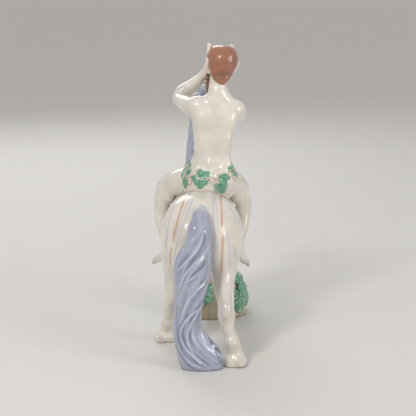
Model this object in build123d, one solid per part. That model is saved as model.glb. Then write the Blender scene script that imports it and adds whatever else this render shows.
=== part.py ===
"""Glazed porcelain group: a young faun with pan pipes riding a prancing horse.

The group is slip-cast as separate pieces and luted together: each piece is one node here, cut back to
the piece it is luted to, so neighbours meet face to face. The horse faces -Y and +X is its left side.
The origin is on the table, under the middle of the group. Millimetres, +Z up.
"""
from build123d import *
import math
import os

# ---------------------------------------------------------------- driving dimensions
WALL = 5.0             # wall of the two hollow castings, body and rider
FOOT_WALL = 7.0        # wall of the hollow stump, which is also its unglazed foot ring
VENT_R = 2.5           # firing vents through the hollow castings
VENT_LENGTH = 20.0
BELLY_VENT = (0.0, 20.0, 104.0)
TABLE = (400.0, 500.0, 40.0)    # block under the table's top that cuts the feet flat
PELVIS = (-11.0, 33.0, 222.0)   # middle of the rider's hips
HEAD = (-28.5, 18.0, 374.0)     # middle of the rider's skull
HEAD_TURN = 25.0       # degrees that the rider's face is turned to its own left
STUMP = (-14.0, -93.0)          # middle of the stump's foot on the table
LEAF_THICK = 2.2
STATION_STEP = 7.0     # distance between the sections that a limb is lofted through
SADDLE_VENT = (PELVIS[0], PELVIS[1], 206.0)
SKULL_R = (17.0, 20.5, 22.0)    # radii across, front to back and up
JAW_R = (12.5, 13.5, 15.5)
NOSE_R = (2.6, 4.5, 5.5)
HAIR_R = (19.3, 23.0, 26.0)
FACE_R = (22.0, 22.0, 24.0)     # the opening of the hair over the face

FORWARD = Vector(math.sin(math.radians(HEAD_TURN)), -math.cos(math.radians(HEAD_TURN)), 0)
LEFTWARD = Vector(math.cos(math.radians(HEAD_TURN)), math.sin(math.radians(HEAD_TURN)), 0)


# ---------------------------------------------------------------- helpers
def section(centre, normal, across, deep, side=(1, 0, 0)):
    """An elliptical face with radius `across` along `side` and `deep` the other way."""
    normal = Vector(*normal).normalized()
    side = Vector(*side)
    side = (side - normal * side.dot(normal)).normalized()
    return Plane(origin=Vector(*centre), x_dir=side, z_dir=normal) * Ellipse(across, deep)


def evened(stations):
    """Stations at even steps of travel and swelling along the smooth line through those given."""
    reach = [0.0]
    for here, there in zip(stations, stations[1:]):
        reach.append(reach[-1] + math.dist(here, there))
    slopes = []
    for i in range(len(stations)):
        low, high = max(i - 1, 0), min(i + 1, len(stations) - 1)
        slopes.append([(q - p) / (reach[high] - reach[low]) for p, q in zip(stations[low], stations[high])])
    steps = max(round(reach[-1] / STATION_STEP), 4)
    found = [stations[0]]
    for step in range(1, steps):
        along = reach[-1] * step / steps
        i = max(k for k in range(len(reach)) if reach[k] <= along)
        gap = reach[i + 1] - reach[i]
        t = (along - reach[i]) / gap
        found.append(tuple(
            (1 + 2 * t) * (1 - t) ** 2 * p + t * (1 - t) ** 2 * gap * m
            + t * t * (3 - 2 * t) * q + t * t * (t - 1) * gap * n
            for p, q, m, n in zip(stations[i], stations[i + 1], slopes[i], slopes[i + 1])))
    return found + [stations[-1]]


def limb(stations, side=(1, 0, 0), first=None, last=None):
    """A smooth casting through stations of (x, y, z, across, deep), square to the line that they follow."""
    stations = evened(stations)
    points = [Vector(*s[:3]) for s in stations]
    wires = []
    for i, s in enumerate(stations):
        normal = points[min(i + 1, len(points) - 1)] - points[max(i - 1, 0)]
        if i == 0 and first:
            normal = Vector(*first)
        if i == len(points) - 1 and last:
            normal = Vector(*last)
        wires.append(section(s[:3], tuple(normal), s[3], s[4], side).face().outer_wire())
    return Solid.make_loft(wires, False)


def egg(centre, radii, turn=0.0):
    """An ellipsoid, turned about Z by `turn` degrees."""
    ball = scale(Sphere(1), by=radii)
    return Pos(*centre) * Rot(0, 0, turn) * ball


def table():
    """Everything under the table's top, to cut the feet flat."""
    return Pos(0, 0, -TABLE[2] / 2) * Box(*TABLE)


def cut(shape, *others):
    """What is left of a shape after its neighbours are taken away, without the crumbs of the cut."""
    solid = max(shape.solids(), key=lambda s: s.volume)
    for other in others:
        solid = max((solid - other).solids(), key=lambda s: s.volume)
    return solid


def mirrored(stations):
    """The right leg's stations from those of the left one."""
    return [(RIGHT_LEG_SHIFT - x, y, z, a, b) for x, y, z, a, b in stations]


# ---------------------------------------------------------------- the horse
# y, z, half width, half height along the body, from buttocks to chest
BODY = [
    (120, 168, 12, 16), (115, 166, 28, 32), (103, 163, 43, 45), (84, 160, 52, 52), (60, 157, 52.5, 55),
    (30, 155, 48, 53), (0, 155, 46, 51), (-30, 160, 45, 53), (-60, 167, 41, 51), (-84, 173, 32, 40),
    (-97, 177, 20, 26), (-102, 178, 8, 11),
]


def body_form():
    return limb([(0, y, z, a, b) for y, z, a, b in BODY], first=(0, -1, 0), last=(0, -1, 0))


def body_cavity():
    """The hollow of the body, closed short of the buttocks and the chest."""
    rows = [(0, y, z, a - WALL, b - WALL) for y, z, a, b in BODY[3:-2]]
    return limb(rows, first=(0, -1, 0), last=(0, -1, 0))


NECK = [
    (0, -56, 172, 28, 44), (0, -68, 203, 23, 37), (0, -77, 232, 19, 30), (0, -82, 258, 16, 24),
    (0, -86, 281, 14, 20), (0, -91, 300, 12.5, 17),
]
HORSE_HEAD = [
    (0, -83, 319, 9, 9), (0, -91, 314, 13, 16), (0, -103, 303, 15, 20), (0, -116, 288, 13, 16.5),
    (0, -128, 273, 10.5, 12), (0, -138, 261, 9.5, 10), (0, -146, 251, 9.5, 9), (0, -150, 246, 6, 6),
]
LEFT_HIND = [
    (25, 74, 165, 24, 34), (30, 62, 142, 22, 33), (33, 55, 119, 17.5, 26), (36, 59, 96, 13.5, 18),
    (38, 67, 77, 11.5, 14), (39, 68, 63, 11, 12.5), (40.5, 61, 50, 10, 10), (43, 53, 38, 9.3, 9.5),
    (45, 48, 30, 9.7, 10), (46.5, 43, 21, 9.8, 10.5), (48.5, 38, 12.5, 13, 14), (50, 34, 0, 14.5, 17),
    (50.7, 32, -6, 14.8, 17.5),
]
RIGHT_HIND = [
    (-25, 80, 165, 24, 34), (-29, 80, 142, 22, 33), (-30, 84, 119, 18.5, 27), (-30, 101, 96, 14, 19),
    (-32, 121, 77, 11.7, 14), (-32.5, 129, 64, 11.2, 12.5), (-33.5, 130, 50, 10, 10),
    (-37, 131, 38, 9.3, 9.5), (-40, 134, 30, 9.7, 10), (-42.5, 134, 21, 9.8, 10.5),
    (-44.5, 133, 12.5, 13, 14), (-46, 133, 0, 14.5, 17), (-46.7, 133, -6, 14.8, 17.5),
]
LEFT_FORE = [
    (24, -66, 165, 18, 28), (29, -70, 142, 16, 23), (31, -82, 124, 12.5, 16), (31, -102, 117, 10.5, 12),
    (31, -121, 113, 10.3, 11.5), (31, -131, 102, 9.8, 10.5), (31, -130, 86, 8, 8.5), (31, -125, 70, 7.5, 8),
    (31, -123, 60, 8.6, 9.2), (31, -127, 50, 8.2, 8.8), (31, -132, 42, 10.5, 11.5), (31, -136, 31, 12.5, 14),
]
RIGHT_FORE = [
    (-24, -66, 165, 18, 28), (-29, -72, 145, 16, 23), (-31, -88, 131, 12.5, 16), (-31, -110, 128, 10.5, 12),
    (-31, -129, 127, 10.3, 11.5), (-31, -141, 118, 9.8, 10.5), (-31, -145, 102, 8, 8.5),
    (-31, -143, 86, 7.5, 8), (-31, -141, 76, 8.6, 9.2), (-31, -144, 66, 8.2, 8.8),
    (-31, -148, 58, 10.5, 11.5), (-31, -151, 47, 12.5, 14),
]
TAIL = [
    (-2, 110, 197, 7, 7), (-1, 121, 194, 9, 8), (1, 129, 178, 12, 9), (2, 134, 158, 16, 10),
    (9, 137, 137, 21, 11), (13, 138, 115, 22.5, 12), (14.5, 140, 92, 20, 12), (16, 142, 68, 18.5, 12),
    (15, 146, 44, 21, 13), (9, 149, 24, 25.5, 13), (0.5, 150, 8, 28, 13), (-2, 150, -6, 28, 13),
]
MANE = [
    (-1, -77, 326, 7, 8), (2, -72, 312, 11, 11), (5, -66, 293, 13, 13), (8, -60, 270, 15, 15),
    (12, -52, 247, 17, 15), (16, -43, 226, 15, 12), (20, -35, 211, 9, 7),
]
FORELOCK = [(0, -84, 329, 5, 4), (1, -94, 328, 6, 4.5), (2, -105, 320, 5, 4), (3, -114, 310, 2.5, 2)]


def horse_ear(x_sign):
    return limb([
        (x_sign * 8, -90, 322, 4.5, 4), (x_sign * 9, -91, 331, 5, 3.5), (x_sign * 10, -92, 340, 3.6, 2.6),
        (x_sign * 10.5, -93, 348, 1.2, 1),
    ])


# ---------------------------------------------------------------- the stump
def stump_form(inset=0.0):
    x, y = STUMP
    foot = -1.0 if inset else 0.0
    return limb([
        (x, y, foot, 50 - inset, 43 - inset), (x, y, 18, 51 - inset, 44 - inset),
        (x, y, 45, 43 - inset, 37 - inset), (x, y + 4, 78, 31 - inset, 28 - inset),
        (x, y + 12, 112 - inset, 25 - inset, 23 - inset),
        (x, y + 16, 128 - 3 * inset, 23 - inset, 21 - inset),
    ], first=(0, 0, 1), last=(0, 0, 1))


def leaf(length, width):
    """A domed vine leaf in the XY plane, growing along +Y, its back at z = 0."""
    lobes = [Pos(0, 0.5 * length, 0) * Ellipse(0.24 * width, 0.5 * length)]
    for sign in (-1, 1):
        lobes.append(Pos(sign * 0.25 * width, 0.46 * length, 0) * Rot(0, 0, -sign * 42)
                     * Ellipse(0.17 * width, 0.36 * length))
        lobes.append(Pos(sign * 0.18 * width, 0.22 * length, 0) * Rot(0, 0, -sign * 100)
                     * Ellipse(0.14 * width, 0.24 * length))
    outline = lobes[0]
    for lobe in lobes[1:]:
        outline += lobe
    return extrude(outline, LEAF_THICK)


def placed(shape, at, outward, growing):
    """Lays a leaf's back on a surface point, facing `outward` and growing along `growing`."""
    outward = Vector(*outward).normalized()
    growing = Vector(*growing)
    growing = (growing - outward * growing.dot(outward)).normalized()
    return Plane(origin=Vector(*at), x_dir=growing.cross(outward), z_dir=outward) * shape


# rings of leaves: height, distance out across and deep, how many, length, turn of the first one
STUMP_LEAF_RINGS = [(62, 37, 32, 6, 34, 0.0), (40, 44, 38, 7, 38, 0.45)]
STUMP_SLOPE = 0.35     # lean of the stump's side, which the leaves lie against


def stump_leaves():
    """Rings of large leaves hanging down round the stump."""
    x, y = STUMP
    found = []
    for height, across, deep, count, length, start in STUMP_LEAF_RINGS:
        for i in range(count):
            turn = math.tau * (i + start) / count
            out = Vector(math.cos(turn), math.sin(turn), 0)
            at = Vector(x + across * out.X, y + deep * out.Y, height)
            lean = Vector(out.X, out.Y, STUMP_SLOPE)
            found.append(placed(leaf(length, 0.95 * length), tuple(at), tuple(lean), (0, 0, -1)))
    return found


# ---------------------------------------------------------------- the rider
TORSO = [
    (-10, 33, 203, 30, 24), (-10.5, 33, 212, 35, 28), (-11, 33, 222, 35, 27), (-12, 33, 235, 30, 21.5),
    (-13, 33, 251, 23.5, 16.5), (-15, 32, 270, 24, 16.5), (-17, 31, 288, 27.5, 18), (-18.5, 31, 302, 30, 18),
    (-20, 31, 314, 31, 15.5), (-22, 31, 322, 24, 12.5), (-24, 31, 329, 13.5, 11), (-25, 30, 336, 11.2, 10.8),
    (-27, 27, 352, 10.8, 11),
]
LEFT_THIGH = [
    (6, 24, 222, 20, 20), (26, 3, 215, 18, 19), (42, -19, 207, 14.5, 15.5), (51, -31, 200, 11.5, 12),
]
RIGHT_THIGH = [
    (-24, 24, 220, 20, 20), (-36, 3, 214, 18, 19), (-46, -19, 207, 14.5, 15.5), (-54, -31, 200, 11.5, 12),
]
LEFT_SHIN = [
    (52, -34, 198, 11, 12), (53, -34, 186, 10.5, 11.5), (54, -31, 170, 10.2, 11), (52.5, -22, 152, 8.8, 9.5),
    (50.5, -13, 135, 6.5, 7.5), (50, -7, 122, 5.8, 6.8), (51, -4, 112, 6, 8.5),
]
KNEE = (51.5, -33, 198)
KNEE_R = 12.0
RIGHT_LEG_SHIFT = -3.0     # the right leg mirrors the left one about a plane this far out
RIDER_LEFT_FOOT = [
    (49, 4, 111, 4, 4.5), (50.5, 0, 110, 6, 7.5), (54, -7, 107, 6, 7.5), (58.5, -16, 102, 6.5, 5.5),
    (63, -24, 97, 6.5, 4), (66.5, -30, 93, 4, 2.8),
]
LEFT_UPPER_ARM = [
    (2, 31, 313, 11, 11), (13, 22, 314, 11, 11), (22, 7, 318, 9.5, 9.5), (28, -10, 323, 8.5, 8.8),
]
LEFT_FOREARM = [
    (28, -14, 325, 8.6, 8.6), (22, -18, 332, 8.6, 8.2), (12, -18, 341, 7.5, 7.5), (3, -16, 352, 6, 6),
    (-4, -13, 363, 4.8, 5),
]
RIGHT_UPPER_ARM = [
    (-42, 31, 313, 11, 11), (-49, 20, 310, 10, 11), (-51, 4, 305, 8.3, 9), (-51, -12, 302, 7.8, 8.2),
]
RIGHT_FOREARM = [
    (-51, -15, 302, 7.8, 8.2), (-46, -21, 313, 7.8, 7.8), (-38, -23, 328, 6.4, 6.6), (-32, -21, 340, 5, 5.2),
]
ELBOWS = {"left": (28, -13, 324.5), "right": (-51, -14, 302)}
ELBOW_R = 8.8
PALMS = {"left": (-6, -9, 360), "right": (-30.5, -17, 345)}
PALM_R = 6.5
PIPE_COUNT = 6
PIPE_R = 2.1
PIPE_BORE_R = 1.3
PIPE_BORE_DEPTH = 6.0
PIPE_OVERLAP = 0.15    # how far neighbouring pipes run into each other
BAND_HEIGHT = 3.5
BAND_DROP = 9.0        # from the blown edge to the middle of the band that ties the pipes
PIPE_TOP = (-18.0, -5.0, 358.5)     # middle of the blown edge, at the lips
PIPE_LENGTHS = [19 + 3 * i for i in range(PIPE_COUNT)]


def turned_head(local, height):
    """A point of the head given by how far it is left of and in front of the skull's middle."""
    left, front = local
    return Vector(HEAD[0], HEAD[1], HEAD[2] + height) + LEFTWARD * left + FORWARD * front


def rider_head_form():
    skull = egg(HEAD, SKULL_R, HEAD_TURN)
    jaw = egg(tuple(turned_head((0, 7.5), -14)), JAW_R, HEAD_TURN)
    nose = egg(tuple(turned_head((0, 20), -8)), NOSE_R, HEAD_TURN)
    return skull + jaw + nose


def rider_hair_form():
    """A close cap of hair from the brow down to the nape, open over the face."""
    cap = egg((HEAD[0], HEAD[1] + 3, HEAD[2] - 2), HAIR_R, HEAD_TURN)
    face = egg(tuple(turned_head((0, 27), -12)), FACE_R, HEAD_TURN)
    return cut(cap, face)


def rider_ear(side):
    base = turned_head((side * 15, 1), -7)
    middle = turned_head((side * 19, -1), 0)
    tip = turned_head((side * 23, -3), 9)
    return limb([(*base, 3, 4), (*middle, 2.6, 4), (*tip, 0.8, 1.2)], side=(0, 1, 0))


def rider_horn(side):
    base = turned_head((side * 11, 9), 15)
    middle = turned_head((side * 13.5, 10), 21)
    tip = turned_head((side * 15, 9.5), 26)
    return limb([(*base, 3.4, 3.4), (*middle, 2.9, 2.9), (*tip, 1.4, 1.4)])


def pan_pipes():
    """A raft of stopped pipes, side by side, held across the mouth."""
    pipes = []
    first = Vector(*PIPE_TOP) - LEFTWARD * (PIPE_R * (PIPE_COUNT - 1))
    for i, length in enumerate(PIPE_LENGTHS):
        at = first + LEFTWARD * (2 * PIPE_R * i)
        pipe = Pos(at.X, at.Y, at.Z - length / 2) * Cylinder(PIPE_R + PIPE_OVERLAP, length)
        bore = Pos(*at) * Cylinder(PIPE_BORE_R, 2 * PIPE_BORE_DEPTH)
        pipes.append(pipe - bore)
    raft = pipes[0]
    for pipe in pipes[1:]:
        raft += pipe
    middle = Vector(*PIPE_TOP)
    band = Pos(middle.X, middle.Y, middle.Z - BAND_DROP) * Rot(0, 0, HEAD_TURN) * Box(
        2 * PIPE_R * (PIPE_COUNT + 0.5), 3 * PIPE_R, BAND_HEIGHT)
    return raft + band


# ---------------------------------------------------------------- the garland on the rider's hips
def garland_point(turn, lift=0.0):
    """A point on the garland's line round the hips; turn 90 degrees is the middle of the back."""
    c, s = math.cos(math.radians(turn)), math.sin(math.radians(turn))
    return (PELVIS[0] + (32 + lift) * c, PELVIS[1] + (25 + lift) * s, PELVIS[2] + 18 - 13 * s)


def garland_vine():
    turns = [-20, 15, 50, 90, 130, 165, 200]
    return limb([(*garland_point(t, 0.5), 2.2, 2.2) for t in turns], side=(0, 0, 1))


# turn round the hips, height above the vine, length, growing direction (sideways, up)
GARLAND_LEAVES = [
    (-8, 4, 13, (0.3, 1)), (12, 0, 15, (0.2, -1)), (38, 4, 11, (0.3, 1)), (44, -1, 15, (-0.3, -1)),
    (72, 5, 13, (-0.2, 1)), (76, 0, 19, (-0.2, -1)), (105, -3, 17, (0.5, -1)), (120, 3, 14, (0.4, -0.4)),
    (150, 2, 15, (0.3, -1)), (165, 6, 14, (-0.2, 1)), (188, 0, 14, (0, -1)),
]
BERRY_TURNS = [0, 25, 58, 92, 135, 158, 178]
BERRY_R = 2.4


def garland_leaves():
    found = []
    for turn, height, length, (sideways, up) in GARLAND_LEAVES:
        x, y, z = garland_point(turn, 2.5)
        out = Vector(math.cos(math.radians(turn)), math.sin(math.radians(turn)), 0.25)
        along = Vector(-out.Y, out.X, 0) * sideways + Vector(0, 0, up)
        found.append(placed(leaf(length, length), (x, y, z + height), tuple(out), tuple(along)))
    return found


def garland_berries():
    return [Pos(*garland_point(t, 3.2)) * Sphere(BERRY_R) for t in BERRY_TURNS]


# ---------------------------------------------------------------- assembly
def build_horse(nodes, body):
    neck_form = limb(NECK, first=(0, -0.3, 1))
    vents = [Pos(*at) * Cylinder(VENT_R, VENT_LENGTH) for at in (BELLY_VENT, SADDLE_VENT)]
    nodes["horse_body"] = cut(body, body_cavity(), *vents)
    nodes["horse_neck"] = cut(neck_form, body)
    nodes["horse_head"] = cut(limb(HORSE_HEAD), neck_form)
    for name, stations in (("left", LEFT_HIND), ("right", RIGHT_HIND)):
        nodes[f"horse_{name}_hind_leg"] = cut(limb(stations), body, table())
    for name, stations in (("left", LEFT_FORE), ("right", RIGHT_FORE)):
        nodes[f"horse_{name}_foreleg"] = cut(limb(stations), body)
    for name, side in (("left", 1), ("right", -1)):
        nodes[f"horse_{name}_ear"] = cut(horse_ear(side), nodes["horse_head"])
    legs = [nodes["horse_left_hind_leg"], nodes["horse_right_hind_leg"]]
    nodes["horse_tail"] = cut(limb(TAIL), body, table(), *legs)


def build_stump(nodes, body):
    outside = stump_form()
    touching = [body, nodes["horse_left_foreleg"], nodes["horse_right_foreleg"]]
    nodes["stump"] = cut(outside, *touching, stump_form(FOOT_WALL))
    leaves = []
    for each in stump_leaves():
        leaves.append(cut(each, outside, *touching, *leaves))
    nodes["stump_leaves"] = Compound(children=leaves)


def build_hair_of_horse(nodes, body, torso):
    touching = [body] + [nodes[f"horse_{n}"] for n in ("neck", "head", "left_ear", "right_ear")]
    nodes["horse_mane"] = cut(limb(MANE), *touching, torso)
    nodes["horse_forelock"] = cut(limb(FORELOCK), *touching, nodes["horse_mane"])


def build_rider(nodes, body, torso):
    hollow = [(x, y, z, a - WALL, b - WALL) for x, y, z, a, b in TORSO[:-4]]
    nodes["rider_torso"] = cut(torso, limb(hollow, first=(0, 0, 1), last=(0, 0, 1)))
    right_knee = (RIGHT_LEG_SHIFT - KNEE[0], KNEE[1], KNEE[2])
    for name, thigh, knee, shin, foot in (
        ("left", LEFT_THIGH, KNEE, LEFT_SHIN, RIDER_LEFT_FOOT),
        ("right", RIGHT_THIGH, right_knee, mirrored(LEFT_SHIN), mirrored(RIDER_LEFT_FOOT)),
    ):
        leg = limb(thigh) + egg(knee, (KNEE_R, KNEE_R, KNEE_R)) + limb(shin)
        nodes[f"rider_{name}_leg"] = cut(leg, body, torso, nodes["horse_mane"])
        nodes[f"rider_{name}_foot"] = cut(limb(foot), nodes[f"rider_{name}_leg"], body)
    left_arm = limb(LEFT_UPPER_ARM, side=(0, 0, 1)) + limb(LEFT_FOREARM, side=(0, 0, 1))
    right_arm = limb(RIGHT_UPPER_ARM) + limb(RIGHT_FOREARM)
    for name, arm in (("left", left_arm), ("right", right_arm)):
        elbow = egg(ELBOWS[name], (ELBOW_R, ELBOW_R, ELBOW_R))
        nodes[f"rider_{name}_arm"] = cut(arm + elbow, torso)


def build_rider_head(nodes, torso):
    nodes["rider_head"] = cut(rider_head_form(), torso)
    nodes["rider_hair"] = cut(rider_hair_form(), rider_head_form(), torso)
    for name, side in (("left", 1), ("right", -1)):
        nodes[f"rider_{name}_ear"] = cut(rider_ear(side), nodes["rider_head"], nodes["rider_hair"])
        nodes[f"rider_{name}_horn"] = cut(rider_horn(side), nodes["rider_head"], nodes["rider_hair"])


def build_pipes(nodes):
    nodes["pan_pipes"] = cut(pan_pipes(), nodes["rider_head"])
    for name, palm in PALMS.items():
        touching = [nodes[f"rider_{name}_arm"], nodes["pan_pipes"], nodes["rider_head"]]
        nodes[f"rider_{name}_hand"] = cut(Pos(*palm) * Sphere(PALM_R), *touching)


def build_garland(nodes, body, torso):
    touching = [torso, body, nodes["rider_left_leg"], nodes["rider_right_leg"]]
    nodes["garland_vine"] = cut(garland_vine(), *touching)
    touching.append(nodes["garland_vine"])
    for name, shapes in (("leaves", garland_leaves()), ("berries", garland_berries())):
        kept = []
        for each in shapes:
            kept.append(cut(each, *touching))
            touching.append(kept[-1])
        nodes[f"garland_{name}"] = Compound(children=kept)


def build():
    nodes = {}
    body = body_form()
    torso = cut(limb(TORSO, first=(0, 0, 1), last=(0, 0, 1)), body)
    build_horse(nodes, body)
    build_stump(nodes, body)
    build_hair_of_horse(nodes, body, torso)
    build_rider(nodes, body, torso)
    build_rider_head(nodes, torso)
    build_pipes(nodes)
    build_garland(nodes, body, torso)
    return nodes


os.makedirs("parts", exist_ok=True)
for name, shape in build().items():
    export_step(shape, f"parts/{name}.step")
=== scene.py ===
"""The looks of the porcelain group: modelled surfaces, painted glazes, camera and light.

Sizes are millimetres in the group's own frame until a piece becomes a mesh in metres. The horse faces -Y,
+X is its left, and +Z is up.
"""
import math

import bmesh
import bpy
import numpy as np
import openvdb
from mathutils import Euler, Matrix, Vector
from mathutils.bvhtree import BVHTree


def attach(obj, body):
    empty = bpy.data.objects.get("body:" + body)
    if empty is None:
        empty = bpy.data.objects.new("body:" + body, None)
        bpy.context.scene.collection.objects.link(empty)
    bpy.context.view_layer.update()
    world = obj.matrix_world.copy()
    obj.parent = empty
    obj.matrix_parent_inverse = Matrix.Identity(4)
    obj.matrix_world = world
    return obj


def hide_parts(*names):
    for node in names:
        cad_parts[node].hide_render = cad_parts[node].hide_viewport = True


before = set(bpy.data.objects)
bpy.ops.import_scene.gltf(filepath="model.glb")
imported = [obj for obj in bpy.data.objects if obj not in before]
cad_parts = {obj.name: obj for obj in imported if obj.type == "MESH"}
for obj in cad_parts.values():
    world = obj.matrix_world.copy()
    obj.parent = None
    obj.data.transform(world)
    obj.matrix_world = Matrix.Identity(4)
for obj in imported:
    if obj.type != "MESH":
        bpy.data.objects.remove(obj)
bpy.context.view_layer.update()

MM = 0.001

# sRGB paints under the clear glaze
WHITE = (0.895, 0.870, 0.830)
SHADE = (0.74, 0.68, 0.61)
CREAM = (0.86, 0.81, 0.70)
TAN = (0.78, 0.62, 0.50)
PALE_LAVENDER = (0.75, 0.755, 0.81)
LAVENDER = (0.67, 0.69, 0.765)
DEEP_LAVENDER = (0.40, 0.42, 0.51)
BROWN = (0.635, 0.415, 0.305)
DEEP_BROWN = (0.38, 0.21, 0.15)
GREEN = (0.30, 0.58, 0.46)
DEEP_GREEN = (0.11, 0.35, 0.26)
STRAW = (0.64, 0.49, 0.33)
GREY = (0.55, 0.54, 0.56)
ROSE = (0.85, 0.62, 0.58)
BLACK = (0.07, 0.06, 0.07)
# olive painted shade for the stump's hollows
OLIVE_SHADE = (0.52, 0.49, 0.35)

# the rider's head: the middle of the skull and how far the face is turned to its left
HEAD = np.array((-26.5, 18.0, 374.0))
HEAD_TURN = math.radians(25)
STUMP = (-14.0, -93.0)
PELVIS = (-11.0, 33.0, 222.0)


# ================================================================ modelling
def unit(v):
    v = np.array(v, float)
    return v / np.linalg.norm(v)


def smooth_path(stations, step):
    """Rows at about even steps along a smooth curve through the stations; extra columns follow along."""
    rows = np.array(stations, float)
    padded = np.vstack((2 * rows[0] - rows[1], rows, 2 * rows[-1] - rows[-2]))
    found = []
    for i in range(1, len(padded) - 2):
        p0, p1, p2, p3 = padded[i - 1:i + 3]
        count = max(int(np.linalg.norm((p2 - p1)[:3]) / step), 1)
        for t in np.arange(count) / count:
            found.append(0.5 * (2 * p1 + (p2 - p0) * t + (2 * p0 - 5 * p1 + 4 * p2 - p3) * t ** 2
                                + (3 * p1 - p0 - 3 * p2 + p3) * t ** 3))
    found.append(rows[-1])
    return np.array(found)


class Clay:
    """A block of space holding a signed distance, negative inside what has been modelled."""

    FAR = 15.0

    def __init__(self, low, high, step):
        self.step = step
        self.low = np.array(low, float)
        counts = np.ceil((np.array(high) - self.low) / step).astype(int) + 1
        self.axes = [self.low[i] + step * np.arange(counts[i]) for i in range(3)]
        self.field = np.full(counts, self.FAR, np.float32)

    def window(self, low, high):
        spans = []
        for i in range(3):
            first = int(np.clip((low[i] - self.low[i]) / self.step, 0, len(self.axes[i])))
            last = int(np.clip((high[i] - self.low[i]) / self.step + 2, first, len(self.axes[i])))
            spans.append(slice(first, last))
        x, y, z = (self.axes[i][spans[i]].astype(np.float32) for i in range(3))
        return tuple(spans), x[:, None, None], y[None, :, None], z[None, None, :]

    def merge(self, spans, distance, blend, carve):
        old = self.field[spans]
        if carve:
            distance = -distance
        overlap = np.maximum(blend - np.abs(old - distance), 0) / blend
        swell = overlap * overlap * blend / 4
        self.field[spans] = np.maximum(old, distance) + swell if carve else np.minimum(old, distance) - swell

    def ball(self, centre, radii, blend=3.0, turn=(0, 0, 0), carve=False):
        """An ellipsoid, turned by angles in degrees about X, Y and Z."""
        radii = np.broadcast_to(np.array(radii, float), 3)
        reach = radii.max() + blend + 2 * self.step
        centre = np.array(centre, float)
        spans, x, y, z = self.window(centre - reach, centre + reach)
        spin = np.array(Euler([math.radians(a) for a in turn]).to_matrix())
        dx, dy, dz = x - centre[0], y - centre[1], z - centre[2]
        local = [spin[0, i] * dx + spin[1, i] * dy + spin[2, i] * dz for i in range(3)]
        k0 = np.sqrt(sum((q / r) ** 2 for q, r in zip(local, radii)))
        k1 = np.sqrt(sum((q / r ** 2) ** 2 for q, r in zip(local, radii))) + 1e-6
        distance = np.where(k0 < 0.4, (k0 - 1) * radii.min(), k0 * (k0 - 1) / k1)
        self.merge(spans, distance, blend, carve)

    def limb(self, stations, blend=3.0, side=(1, 0, 0), carve=False, ribs=0, depth=0.0, twist=0.0):
        """A tapering body through (x, y, z, radius) or (x, y, z, across, deep), `across` being along side.

        Ribs are strands that run along it, and twist turns them by that many degrees over its length.
        """
        path = smooth_path(stations, max(2 * self.step, 2.0))
        if path.shape[1] == 4:
            path = np.hstack((path, path[:, 3:4]))
        path[:, 3:] = np.maximum(path[:, 3:], 0.2)
        reach = path[:, 3:].max() + blend + depth + 2 * self.step
        low, high = path[:, :3].min(0) - reach, path[:, :3].max(0) + reach
        whole, *_ = self.window(low, high)
        found = np.full(self.field[whole].shape, self.FAR, np.float32)
        for k in range(len(path) - 1):
            a, b = path[k], path[k + 1]
            reach = max(a[3:].max(), b[3:].max()) + blend + depth + 2 * self.step
            spans, x, y, z = self.window(np.minimum(a, b)[:3] - reach, np.maximum(a, b)[:3] + reach)
            line = (b - a)[:3]
            length = np.linalg.norm(line)
            if length < 1e-6:
                continue
            along = line / length
            across = unit(np.array(side) - along * np.dot(side, along))
            third = np.cross(along, across)
            dx, dy, dz = x - a[0], y - a[1], z - a[2]
            t = np.clip((dx * along[0] + dy * along[1] + dz * along[2]) / length, 0, 1)
            ex, ey, ez = dx - t * line[0], dy - t * line[1], dz - t * line[2]
            s = ex * across[0] + ey * across[1] + ez * across[2]
            rest = np.sqrt(np.maximum(ex * ex + ey * ey + ez * ez - s * s, 0))
            wide = a[3] + t * (b[3] - a[3])
            deep = a[4] + t * (b[4] - a[4])
            distance = (np.sqrt((s / wide) ** 2 + (rest / deep) ** 2) - 1) * np.minimum(wide, deep)
            if ribs:
                o = ex * third[0] + ey * third[1] + ez * third[2]
                angle = np.arctan2(o / deep, s / wide) + math.radians(twist) * (k + t) / len(path)
                distance = distance - depth * np.abs(np.cos(0.5 * ribs * angle))
            inner = tuple(slice(q.start - w.start, q.stop - w.start) for q, w in zip(spans, whole))
            found[inner] = np.minimum(found[inner], distance)
        self.merge(whole, found, blend, carve)

    def pair(self, shape, centre, *args, **keys):
        """The same ball or limb on the left and on the right of the plane x = 0."""
        turn = keys.pop("turn", (0, 0, 0))
        for sign in (1, -1):
            if shape == "ball":
                self.ball((sign * centre[0], *centre[1:]), *args,
                          turn=(turn[0], sign * turn[1], sign * turn[2]), **keys)
            else:
                self.limb([(sign * row[0], *row[1:]) for row in centre], *args, **keys)

    def above(self):
        """Cuts off flat what lies below the table."""
        self.field = np.maximum(self.field, -self.axes[2][None, None, :].astype(np.float32))

    def flatten(self, point, outward, reach):
        """Cuts what stands out past a point in a direction, within a reach of it."""
        point, outward = np.array(point, float), unit(outward)
        spans, x, y, z = self.window(point - reach, point + reach)
        past = (x - point[0]) * outward[0] + (y - point[1]) * outward[1] + (z - point[2]) * outward[2]
        self.field[spans] = np.maximum(self.field[spans], past)

    def ripple(self, wave):
        """Pushes the surface out by wave(x, y, z) millimetres."""
        x, y, z = self.axes
        near = np.abs(self.field) < 4
        shift = wave(x[:, None, None], y[None, :, None], z[None, None, :])
        self.field = np.where(near, self.field - shift, self.field).astype(np.float32)

    def mesh(self, name, material, slot, nodes):
        grid = openvdb.FloatGrid(background=self.FAR)
        grid.copyFromArray(np.ascontiguousarray(self.field))
        points, triangles, quads = grid.convertToPolygons(isovalue=0.0)
        points = (points * self.step + self.low) * MM
        faces = [*quads[:, ::-1].tolist(), *triangles[:, ::-1].tolist()]
        return piece(name, points, faces, material, nodes)


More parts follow.
